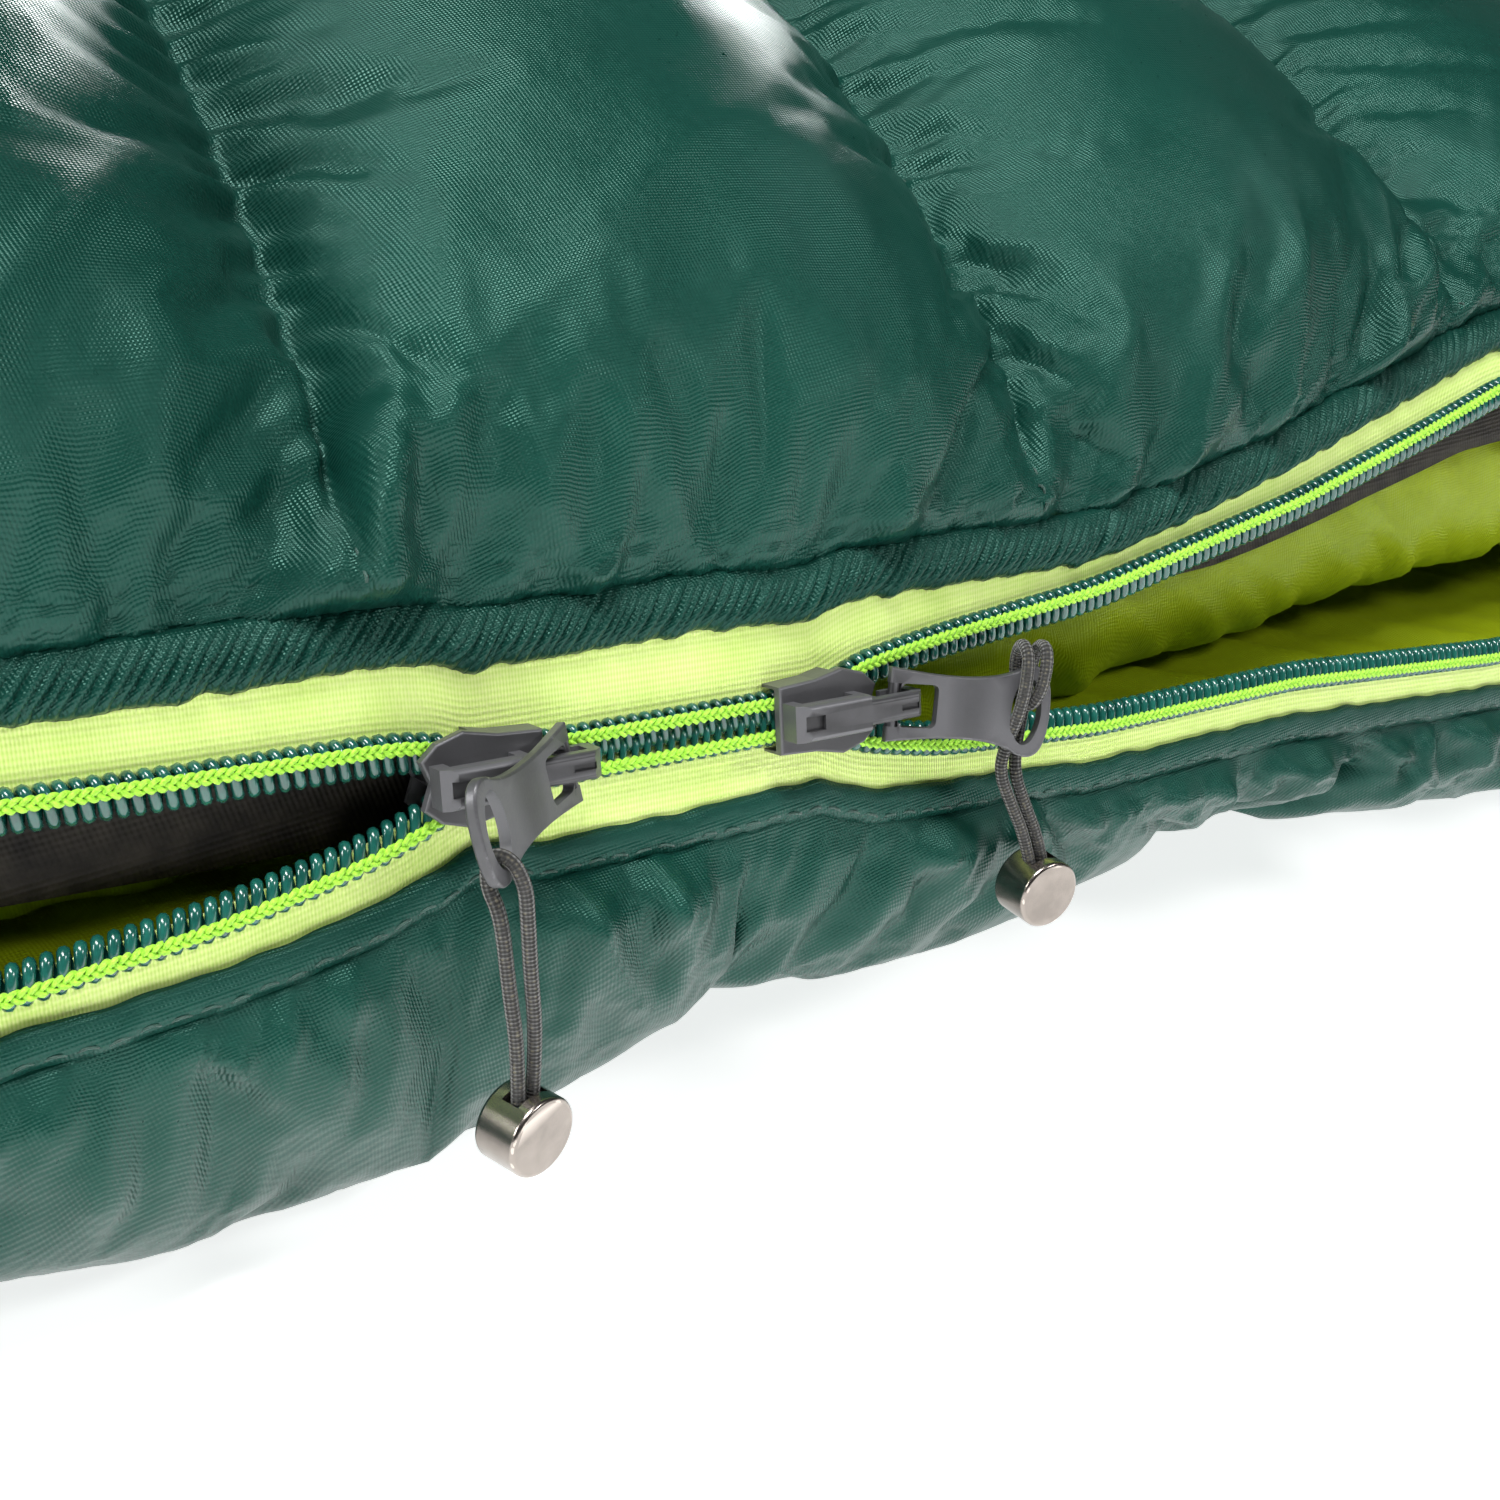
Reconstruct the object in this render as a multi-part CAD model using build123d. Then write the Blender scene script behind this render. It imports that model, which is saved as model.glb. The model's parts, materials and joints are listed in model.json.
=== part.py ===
from build123d import *
from math import cos, hypot, pi, radians, sin, tan
import os

# Mummy sleeping bag lying on its back. Millimetres, +Z up, +X towards the head, zip on the -Y side.
# The origin is on the floor under the middle of the bag.

# ---- driving sizes: the whole bag ----
FOOT_X = -1037.0          # outer end of the foot box
HEAD_X = 1063.0           # outer end of the hood
FOOT_SEAM_X = -767.0      # seam between foot box and body
NECK_SEAM_X = 505.0       # seam between body and hood
MID_HALF_WIDTH = 345.0    # half width at the middle of the zip
TAPER = 6.5               # each side's angle to the length, degrees
TOP_HEIGHT = 168.0        # height of the lofted bag
SEAM_HEIGHT = 48.0        # height of the side seam between top and back panel
UNDER_CURVE = 75.0        # how far in from the side the underside leaves the floor

# ---- layers ----
SHELL = 1.0               # stand-in thickness of shell and lining cloth
TOP_LOFT = 52.0           # down thickness over the top
SIDE_LOFT = 10.0          # down thickness at the side seam
BACK_LOFT = 42.0          # down thickness under the back
BAFFLE_PITCH = 88.0       # width of one down chamber
WALL = 0.4                # mesh wall between two chambers

# ---- zip ----
ZIP_HEIGHT = 60.0         # zip line above the floor
ZIP_LEAN = 12.0           # the zip plane leans back by this angle, degrees
ZIP_HEAD_END = 500.0      # head end of the tapes, measured along the zip
ZIP_FOOT_END = -700.0     # foot end of the tapes
CHAIN_HALF = 3.1          # half width of the closed chain
COIL_THICK = 2.4
TAPE_IN = 0.9             # tape's inner edge from the zip line
TAPE_OUT = 15.0           # tape's outer edge
TAPE_THICK = 0.6
UPPER_STRIP = (10.6, 19.0)   # gathered strip over the upper tape, from and to
LOWER_STRIP = (11.0, 15.6)   # smooth edge strip over the lower tape
STRIP_THICK = 1.0
STRIP_GAP = 0.15          # between a strip and the tape under it
SNAG_STRIP = (7.0, 18.0)  # stiff strip behind the upper tape
SNAG_GAP = 3.6            # between the tape and the stiff strip
TUBE_RADII = (17.0, 9.0)  # draft tube behind the zip
TUBE_IN = 32.0            # its centre, inward from the zip line

# ---- slider ----
HEAD_SLIDER_AT = 17.7     # the upper slider's centre along the zip
FOOT_SLIDER_AT = 24.5     # the lower one's, the other way
BODY_BACK = 6.5           # slider's narrow end from its centre
BODY_FRONT = 7.0          # slider's wide end
BODY_HALF = 5.0           # half width at its widest
PLATE = 1.15              # thickness of the front plate
PLATE_IN = 1.6            # front plate's inner face from the zip plane
BACK_PLATE = 0.9
BACK_PLATE_IN = 2.2       # back plate's inner face from the zip plane
CROWN_WIDTH = 4.2
NOSE_LONG = 8.0
CROWN_NOSE_WIDTH = 3.0
CROWN_UNDER = 4.75        # underside of the crown from the zip plane
CROWN_THICK = 1.5
CROWN_NOSE = 11.7         # crown's front end from the slider's centre
BAR_X = 8.4               # pull tab's pivot bar from the slider's centre
BAR_N = 3.75              # and from the zip plane
BAR_R = 0.68
TAB_THICK = 1.3
TAB_LENGTH = 20.8         # from the bar's outer side to the ring's end
RING_HOLE = (1.95, 4.0)   # half sizes of the ring's hole
RING_RIM = 1.25
WINDOW_HALF = 2.55        # half width of the tab's window
WINDOW_LONG = 4.8
UPPER_TAB_POSE = (16.0, -9.0)    # swing out and droop, degrees
LOWER_TAB_POSE = (143.0, 10.0)
CORD_D = 1.5
BEAD_R = 4.4
BEAD_THICK = 5.6
BEAD_SLOT = (4.2, 2.3, 2.6)      # mouth for the two strands: wide, deep, high

ZIP_U = Vector(cos(radians(TAPER)), -sin(radians(TAPER)), 0)
ZIP_OUT = Vector(-sin(radians(TAPER)), -cos(radians(TAPER)), 0)
ZIP_N = ZIP_OUT * cos(radians(ZIP_LEAN)) + Vector(0, 0, sin(radians(ZIP_LEAN)))
ZIP_PLANE = Plane(origin=(0, -MID_HALF_WIDTH, ZIP_HEIGHT), x_dir=ZIP_U, z_dir=ZIP_N)
SIDE_BULGE = 3.0          # shell's widest line outside the zip line

os.makedirs("parts", exist_ok=True)


def keep(name, *shapes):
    """Write one node's STEP file."""
    solids = [solid for shape in shapes for solid in shape.solids()]
    export_step(solids[0] if len(solids) == 1 else Compound(children=solids), f"parts/{name}.step")


# ---- the bag's outline, as flat faces: a plan outline with one rounded side profile swept round it ----
def side_line(x):
    """Half width of the bag's straight side at x."""
    return MID_HALF_WIDTH + SIDE_BULGE + x * tan(radians(TAPER))


# Half the plan outline from foot to head: points on the widest line.
PLAN = [(FOOT_X, 92), (FOOT_X + 22, 150), (FOOT_X + 75, 208), (FOOT_SEAM_X + 60, side_line(FOOT_SEAM_X + 60)),
        (NECK_SEAM_X, side_line(NECK_SEAM_X)), (NECK_SEAM_X + 95, 385), (NECK_SEAM_X + 215, 326),
        (NECK_SEAM_X + 335, 262), (HEAD_X - 118, 205), (HEAD_X - 53, 162), (HEAD_X - 15, 122), (HEAD_X, 80)]

# Side profile: how far in from the widest line, and the height there.
OUTER_PROFILE = [(190, TOP_HEIGHT), (112, TOP_HEIGHT - 11), (50, TOP_HEIGHT - 38), (9.5, 86), (0, SEAM_HEIGHT),
                 (12, 22), (UNDER_CURVE, 0)]
CAVITY_PROFILE = [(190, TOP_HEIGHT - TOP_LOFT), (112, TOP_HEIGHT - TOP_LOFT - 6), (56, 95), (22, 74),
                  (SIDE_LOFT, SEAM_HEIGHT + 1), (SIDE_LOFT + 4, SEAM_HEIGHT - 2), (UNDER_CURVE, BACK_LOFT)]


def pillow(profile, end_in, grow):
    """Solid inside the profile swept round the plan outline; grow moves every face out."""
    solid = Pos(0, 0, TOP_HEIGHT / 2) * Box(3 * HEAD_X, 3 * MID_HALF_WIDTH, 4 * TOP_HEIGHT)
    upper_half = [(x, -y) for x, y in PLAN]
    outline = [*upper_half, *[(x, -y) for x, y in reversed(upper_half)]]
    for (x0, y0), (x1, y1) in zip(outline, outline[1:] + outline[:1]):
        run = hypot(x1 - x0, y1 - y0)
        out = Vector((y1 - y0) / run, (x0 - x1) / run, 0) * -1
        if out.dot(Vector((x0 + x1) / 2, (y0 + y1) / 2, 0)) < 0:
            out = out * -1
        more_in = end_in * abs(out.X)
        for (d0, z0), (d1, z1) in zip(profile, profile[1:]):
            face_out = out * (z0 - z1) + Vector(0, 0, 1) * (d0 - d1)
            if face_out.dot(out) < 0:
                face_out = face_out * -1
            face_out = face_out.normalized()
            base = Vector(x0, y0, z0) - out * (d0 + more_in) + face_out * grow
            solid = split(solid, Plane(origin=base, z_dir=face_out), keep=Keep.BOTTOM)
    high = max(z for _, z in profile) + grow
    low = min(z for _, z in profile) - grow
    return solid & Pos(0, 0, (high + low) / 2) * Box(4 * HEAD_X, 4 * HEAD_X, high - low)


END_LOFT = 36.0           # extra down thickness at the foot end and the crown of the hood
LEVELS = [
    pillow(OUTER_PROFILE, 0, 0),
    pillow(OUTER_PROFILE, 0, -SHELL),
    pillow(CAVITY_PROFILE, END_LOFT, SHELL),
    pillow(CAVITY_PROFILE, END_LOFT, 0),
]
ORDER = ["shell", "fill", "lining"]


def between(low_x, high_x):
    return Pos((low_x + high_x) / 2, 0, 0) * Box(high_x - low_x, 2000, 2000)


def layers(zone):
    return {name: (LEVELS[i] - LEVELS[i + 1]) & zone for i, name in enumerate(ORDER)}


# ---- the opening along the zip: how far each tape stands off the zip line ----
UPPER_OFF = [(0, 0), (HEAD_SLIDER_AT, 0), (HEAD_SLIDER_AT + 1, 0.25), (HEAD_SLIDER_AT + 4, 1.6), (HEAD_SLIDER_AT + 7, 2.6),
             (36, 4.3), (62, 7.0), (100, 15.0), (147, 27.0), (230, 36.0), (330, 28.0), (430, 12.0),
             (ZIP_HEAD_END, 6.0)]
LOWER_OFF = [(0, 0), (HEAD_SLIDER_AT, 0), (HEAD_SLIDER_AT + 1, 0.25), (HEAD_SLIDER_AT + 4, 1.6), (HEAD_SLIDER_AT + 7, 2.6),
             (36, 4.6), (62, 6.6), (100, 7.4), (147, 9.0), (230, 9.0), (330, 7.5), (430, 4.5),
             (ZIP_HEAD_END, 3.0)]
UPPER_OFF_FOOT = [(-FOOT_SLIDER_AT, 0), (-FOOT_SLIDER_AT - 1, 0.25), (-FOOT_SLIDER_AT - 4, 1.6), (-FOOT_SLIDER_AT - 7, 2.2),
                  (-56, 2.6), (-90, 4.0), (-200, 12.0), (-330, 16.0), (-480, 10.0), (-610, 3.0),
                  (-680, 0), (ZIP_FOOT_END, 0)]
LOWER_OFF_FOOT = [(-FOOT_SLIDER_AT, 0), (-FOOT_SLIDER_AT - 1, 0.25), (-FOOT_SLIDER_AT - 4, 1.6), (-FOOT_SLIDER_AT - 7, 3.4),
                  (-52, 9.0), (-90, 12.0), (-200, 12.0), (-330, 9.0), (-480, 6.0), (-610, 2.0),
                  (-680, 0), (ZIP_FOOT_END, 0)]
UPPER_EDGE = sorted(set(UPPER_OFF_FOOT + UPPER_OFF))
LOWER_EDGE = sorted(set(LOWER_OFF_FOOT + LOWER_OFF))


def edge_band(edge, side, near, far, back, front):
    """Strip along one open edge: from near to far off the edge line, from back to front of the zip plane."""
    inner = [(s, side * (off + near)) for s, off in edge]
    outer = [(s, side * (off + far)) for s, off in edge]
    face = make_face(Polyline(*inner, *reversed(outer), close=True))
    return ZIP_PLANE * Pos(0, 0, back) * extrude(face, front - back)


END_ROOM = 7.0            # the gap runs this far past the tapes' ends
EDGE_GAP = 0.5            # between a panel's edge and the strip sewn to it
COIL_BACK = -COIL_THICK / 2
TAPE_BACK = COIL_BACK - TAPE_THICK


def zip_gap():
    """Space through the side wall between the two panels' edges."""
    lean = cos(radians(ZIP_LEAN))
    low = [(s, -(off + LOWER_STRIP[1] + EDGE_GAP) * lean) for s, off in LOWER_EDGE]
    high = [(s, (off + UPPER_STRIP[1] + EDGE_GAP) * lean) for s, off in UPPER_EDGE]
    low = [(low[0][0] - END_ROOM, low[0][1]), *low, (low[-1][0] + END_ROOM, low[-1][1])]
    high = [(high[0][0] - END_ROOM, high[0][1]), *high, (high[-1][0] + END_ROOM, high[-1][1])]
    face = make_face(Polyline(*low, *reversed(high), close=True))
    upright = Plane(origin=ZIP_PLANE.origin, x_dir=ZIP_U, z_dir=ZIP_OUT)
    return upright * Pos(0, 0, -95) * extrude(face, 140)


# ---- panels, foot box and hood ----
def above(shape):
    return shape & Pos(0, 0, SEAM_HEIGHT + 500) * Box(3000, 2000, 1000)


def below(shape):
    return shape & Pos(0, 0, SEAM_HEIGHT - 500) * Box(3000, 2000, 1000)


FACE_X = 760.0            # middle of the face opening
FACE_HALF = (140.0, 112.0)   # its half sizes, lengthways and across
HEM = 12.0                # width of the drawcord channel round it
OVAL_SIDES = 20


def face_prism(grow):
    long, wide = FACE_HALF
    turns = [2 * pi * i / OVAL_SIDES for i in range(OVAL_SIDES)]
    oval = make_face(Polyline(*[((long + grow) * cos(a), (wide + grow) * sin(a)) for a in turns], close=True))
    return Pos(FACE_X, 0, SEAM_HEIGHT + 20) * extrude(oval, 400)


def chambers(fill, first_x, last_x):
    """Cut a fill into down chambers with a mesh wall between each two."""
    count = int((last_x - first_x) // BAFFLE_PITCH)
    start = first_x + (last_x - first_x - count * BAFFLE_PITCH) / 2
    slabs = [Pos(start + i * BAFFLE_PITCH, 0, 0) * Box(WALL, 2000, 1000) for i in range(count + 1)]
    return fill - slabs, [fill & slab for slab in slabs]


gap = zip_gap()
body = layers(between(FOOT_SEAM_X, NECK_SEAM_X))
for layer in ("shell", "lining"):
    keep(f"top_{layer}", above(body[layer]) - gap)
    keep(f"back_{layer}", below(body[layer]) - gap)
for panel, half in (("top", above), ("back", below)):
    fill, walls = chambers(half(body["fill"]) - gap, FOOT_SEAM_X, NECK_SEAM_X)
    keep(f"{panel}_down_fill", fill)
    keep(f"{panel}_baffle_walls", *walls)

foot = layers(between(2 * FOOT_X, FOOT_SEAM_X))
hood = layers(between(NECK_SEAM_X, 2 * HEAD_X))
for layer in ORDER:
    keep(f"foot_box_{layer}", foot[layer])
    keep(f"hood_{layer}", hood[layer] - gap - face_prism(HEM))
keep("hood_hem", (LEVELS[0] - LEVELS[3]) & (face_prism(HEM) - face_prism(0)))

# Two eyelets where the hood's drawcord would leave its channel, on the chin side.
EYELET_R = 5.0
EYELET_HOLE = 2.6
EYELET_THICK = 1.2
EYELET_ACROSS = 24.0
chin_x = FACE_X - FACE_HALF[0] - HEM / 2
ring = Cylinder(EYELET_R, EYELET_THICK) - Cylinder(EYELET_HOLE, 3 * EYELET_THICK)
seat_z = TOP_HEIGHT + EYELET_THICK / 2
keep("hood_eyelets", *[Pos(chin_x, side * EYELET_ACROSS, seat_z) * ring for side in (-1, 1)])

# Draft collar: a soft roll across the inside of the neck, hanging from the top lining.
COLLAR_LONG = 46.0
COLLAR_THICK = 20.0
COLLAR_X = NECK_SEAM_X - 60.0
COLLAR_HALF = 180.0
COLLAR_GAP = 0.5          # under the lining


def collar(inset):
    top = TOP_HEIGHT - TOP_LOFT - COLLAR_GAP - inset
    bottom = TOP_HEIGHT - TOP_LOFT - COLLAR_GAP - COLLAR_THICK + inset
    box = Box(COLLAR_LONG - 2 * inset, 2 * (COLLAR_HALF - inset), top - bottom)
    return Pos(COLLAR_X, 0, (top + bottom) / 2) * box


collar_core = collar(SHELL)
keep("draft_collar_cover", collar(0) - collar_core)
keep("draft_collar_fill", collar_core)


# Draft tube behind the zip, along its whole length.
def draft_tube(radii, head_end, foot_end):
    depth = TUBE_IN / cos(radians(ZIP_LEAN))
    lift = 14.0
    place = Plane(
        origin=ZIP_PLANE.from_local_coords((foot_end, lift, -depth)), x_dir=(0, 0, 1), z_dir=ZIP_U)
    return extrude(place * Ellipse(radii[1], radii[0]), head_end - foot_end)


TUBE_HEAD = ZIP_HEAD_END - 110
TUBE_FOOT = ZIP_FOOT_END + 60
tube_core = draft_tube([r - SHELL for r in TUBE_RADII], TUBE_HEAD - SHELL, TUBE_FOOT + SHELL)
keep("draft_tube_cover", draft_tube(TUBE_RADII, TUBE_HEAD, TUBE_FOOT) - tube_core)
keep("draft_tube_fill", tube_core)

# Zip tapes, coils and the strips sewn over them.
for name, edge, side, strip in (("upper", UPPER_EDGE, 1, UPPER_STRIP), ("lower", LOWER_EDGE, -1, LOWER_STRIP)):
    keep(f"zip_tape_{name}", edge_band(edge, side, TAPE_IN, TAPE_OUT, TAPE_BACK, COIL_BACK))
    keep(f"zip_coil_{name}", edge_band(edge, side, 0.02, CHAIN_HALF, COIL_BACK, -COIL_BACK))
    front = COIL_BACK + STRIP_GAP
    keep(f"edge_strip_{name}", edge_band(edge, side, *strip, front, front + STRIP_THICK))
snag_front = TAPE_BACK - SNAG_GAP
keep("anti_snag_strip", edge_band(UPPER_EDGE, 1, *SNAG_STRIP, snag_front - STRIP_THICK, snag_front))

# Stops: one clip on each tape at the head end, one bridge over both at the foot end.
STOP_LONG = 3.0
STOP_PROUD = 0.9
clips = []
for edge, side in ((UPPER_EDGE, 1), (LOWER_EDGE, -1)):
    off = edge[-1][1]
    clip = Box(STOP_LONG, CHAIN_HALF, COIL_THICK + 2 * STOP_PROUD)
    clips.append(ZIP_PLANE * Pos(ZIP_HEAD_END + STOP_LONG / 2, side * (off + CHAIN_HALF / 2), 0) * clip)
keep("zip_top_stops", *clips)
bridge = Box(STOP_LONG, 2 * CHAIN_HALF, COIL_THICK + 2 * STOP_PROUD)
keep("zip_bottom_stop", ZIP_PLANE * Pos(ZIP_FOOT_END - STOP_LONG / 2, 0, 0) * bridge)

# Webbing loops at the foot for hanging the bag.
LOOP_ACROSS = 45.0
LOOP_LONG = 26.0
LOOP_WIDE = 12.0
LOOP_HIGH = 9.0
WEBBING = 1.6
loops = []
for side in (-1, 1):
    outer = Box(LOOP_LONG, LOOP_WIDE, LOOP_HIGH)
    hole = Box(LOOP_LONG - 2 * WEBBING, 2 * LOOP_WIDE, LOOP_HIGH - 2 * WEBBING)
    loops.append(Pos(FOOT_X - LOOP_LONG / 2, side * LOOP_ACROSS, SEAM_HEIGHT) * (outer - hole))
keep("hang_loops", *loops)


# ---- sliders ----
def body_outline():
    """Shield shape: narrow where the closed chain leaves, wide and notched where the tapes part."""
    w = BODY_HALF
    half = [(-BODY_BACK, 0.78 * w), (-1.5, 0.84 * w), (2.2, w), (5.2, 0.82 * w), (BODY_FRONT, 0.5 * w)]
    notch = [(BODY_FRONT - 1.0, 0)]
    return make_face(Polyline(*half, *notch, *[(x, -y) for x, y in reversed(half)], close=True))


def slab(face, low, high):
    return Pos(0, 0, low) * extrude(face, high - low)


EDGE_SOFT = 0.35


TOOTH_X = -1.4            # the locking tooth, from the slider's centre


def slider_body(tooth_x):
    outline = body_outline()
    front = slab(outline, PLATE_IN, PLATE_IN + PLATE)
    front = fillet(front.faces().sort_by(Axis.Z)[-1].edges(), EDGE_SOFT)
    back = slab(outline, -BACK_PLATE_IN - BACK_PLATE, -BACK_PLATE_IN)
    back = fillet(back.faces().sort_by(Axis.Z)[0].edges(), EDGE_SOFT)
    channel_half = CHAIN_HALF + 0.45
    rails = slab(outline, COIL_BACK + 0.35, PLATE_IN)
    rails -= Box(4 * BODY_FRONT, 2 * channel_half, 4 * PLATE_IN)
    rails -= Pos(BODY_FRONT + 1.2, 0, 0) * Box(2 * BODY_FRONT, 4 * BODY_HALF, 4 * PLATE_IN)
    diamond = Polyline((3.5, 0), (4.6, 1.15), (5.9, 0), (4.6, -1.15), close=True)
    post = slab(make_face(diamond), -BACK_PLATE_IN, PLATE_IN)
    lock_hole = Pos(tooth_x, 0, PLATE_IN + PLATE / 2) * Box(1.3, 1.1, 2 * PLATE)
    return front + back + rails + post - lock_hole


def slider_crown():
    """Cover over the lock spring, ending in a closed nose that holds the pull tab's bar."""
    top = CROWN_UNDER + CROWN_THICK
    plate_top = PLATE_IN + PLATE
    back = -BODY_BACK + 0.3
    leg = 1.5
    side = make_face(Polyline((back, plate_top), (back, top - 0.9), (back + 1.6, top), (CROWN_NOSE - 1.3, top),
                              (CROWN_NOSE, top - 1.3), (CROWN_NOSE, 2.4), (CROWN_NOSE - 0.5, 1.95),
                              (BODY_FRONT + 0.45, 1.95), (BODY_FRONT + 0.45, 2.75), (CROWN_NOSE - 1.35, 2.75),
                              (CROWN_NOSE - 1.35, CROWN_UNDER), (5.3, CROWN_UNDER), (5.3, plate_top),
                              (2.4, plate_top), (2.4, CROWN_UNDER - 0.3), (back + leg, CROWN_UNDER - 0.3),
                              (back + leg, plate_top), close=True))
    wall = Plane.XZ * side
    block = extrude(wall, CROWN_WIDTH / 2, both=True)
    nose_cut = Box(NOSE_LONG, CROWN_WIDTH, 12)
    for turn in (-1, 1):
        block -= Pos(CROWN_NOSE - NOSE_LONG / 2, turn * (CROWN_NOSE_WIDTH + CROWN_WIDTH) / 2, 4) * nose_cut
    block = fillet(block.edges().filter_by(Axis.X).group_by(Axis.Z)[-1], 0.6)
    pocket = Pos(-4.0, 0, top) * Box(2.4, 1.7, 1.1)
    pin_slot = Pos(9.3, 0, top) * Box(2.7, 0.75, 0.9)
    return block - pocket - pin_slot


def slider_spring():
    """Leaf with the locking tooth that drops between two coils."""
    leaf = Pos(-1.55, 0, 3.75) * Box(6.2, 1.9, 0.3)
    tooth = Pos(TOOTH_X, 0, 2.62) * Box(0.9, 0.8, 1.96)
    hook = Pos(-4.0, 0, 4.0) * Box(0.5, 0.9, 0.7)
    return leaf + tooth + hook


def tab_outline():
    start = -BAR_R
    end = TAB_LENGTH - BAR_R
    ring_x = end - RING_RIM - RING_HOLE[0]
    shoulder = 4.4
    waist = 3.7
    rim = RING_HOLE[1] + RING_RIM
    with BuildSketch() as plate:
        with BuildLine():
            upper = Spline((start, shoulder), (ring_x * 0.55, waist), (ring_x - 0.6, rim),
                           tangents=[(1, -0.12), (1, 0.62)])
            Spline(upper @ 1, (end, 0), (ring_x - 0.6, -rim), tangents=[(1, 0.35), (-1, 0.35)])
            Spline((ring_x - 0.6, -rim), (ring_x * 0.55, -waist), (start, -shoulder),
                   tangents=[(-1, 0.62), (-1, -0.12)])
            Line((start, -shoulder), (start, shoulder))
        make_face()
        with Locations((BAR_R + WINDOW_LONG / 2, 0)):
            RectangleRounded(WINDOW_LONG, 2 * WINDOW_HALF, 0.8, mode=Mode.SUBTRACT)
        with Locations((ring_x, 0)):
            Ellipse(*RING_HOLE, mode=Mode.SUBTRACT)
    return plate.sketch, ring_x


def pull_tab():
    """Waisted plate with a bar and window at one end and a ring at the other; origin at the bar."""
    face, ring_x = tab_outline()
    plate = Pos(0, 0, -TAB_THICK / 2) * extrude(face, TAB_THICK)
    bar_zone = Box(2 * BAR_R + 0.02, 2 * WINDOW_HALF, 3 * TAB_THICK)
    bar = Rot(90, 0, 0) * Cylinder(BAR_R, 2 * WINDOW_HALF)
    plate = fillet(plate.faces().sort_by(Axis.Z)[-1].outer_wire().edges(), 0.3)
    plate = fillet(plate.faces().sort_by(Axis.Z)[0].outer_wire().edges(), 0.3)
    return plate - bar_zone + bar, ring_x


ARC_SHARE = 0.49          # share of a run that the arc at one of its ends may take


def cord_path(points):
    """Straight runs and the largest tangent arcs they allow."""
    radii = []
    for before, here, after in zip(points, points[1:], points[2:]):
        run_in = Vector(here) - Vector(before)
        run_out = Vector(after) - Vector(here)
        turn = radians(run_in.get_angle(run_out))
        radii.append(ARC_SHARE * min(run_in.length, run_out.length) / tan(turn / 2))
    print("cord radii", [round(r, 1) for r in radii])
    return FilletPolyline(*points, radius=radii)


def cord_tube(points):
    path = cord_path(points)
    tube = sweep(Plane(origin=path @ 0, z_dir=path % 0) * Circle(CORD_D / 2), path=path)
    expected = path.length * 3.14159 * CORD_D ** 2 / 4
    print("cord length", round(path.length, 1), "volume share", round(tube.volume / expected, 4))
    return tube


# The upper cord takes two turns round the ring's upper rim, then both strands hang behind the lower rim.
# Points from the bead up, over the ring and back: along the tab, across it, off its face.
UPPER_HITCH = [(-1.35, -7.6, -2.1), (-1.3, -4.1, -1.0), (-1.2, -0.6, 1.1), (-1.2, 3.2, 2.3), (-1.25, 7.1, 2.3),
               (-1.1, 8.2, -0.6), (-0.8, 5.3, -2.2), (-0.3, 2.2, -1.6), (0.35, 0.3, 0.2), (0.9, 2.4, 2.0),
               (1.1, 5.4, 2.5), (1.25, 8.0, 1.6), (1.5, 7.8, -1.6), (1.5, 3.6, -2.5), (1.0, -1.6, -2.6),
               (0.5, -7.2, -2.2)]
# The lower cord goes once over the ring's lower rim: up the front, through the hole and down the back.
LOWER_HITCH = [(-0.3, -8.9, -1.3), (-0.2, -5.9, -1.9), (0.0, -2.9, -1.3), (0.15, -2.3, 0.9), (0.3, -5.3, 2.0),
               (0.5, -8.6, 1.1)]
STRAND_GAP = 0.95         # half distance between the two strands at the bead


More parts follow.
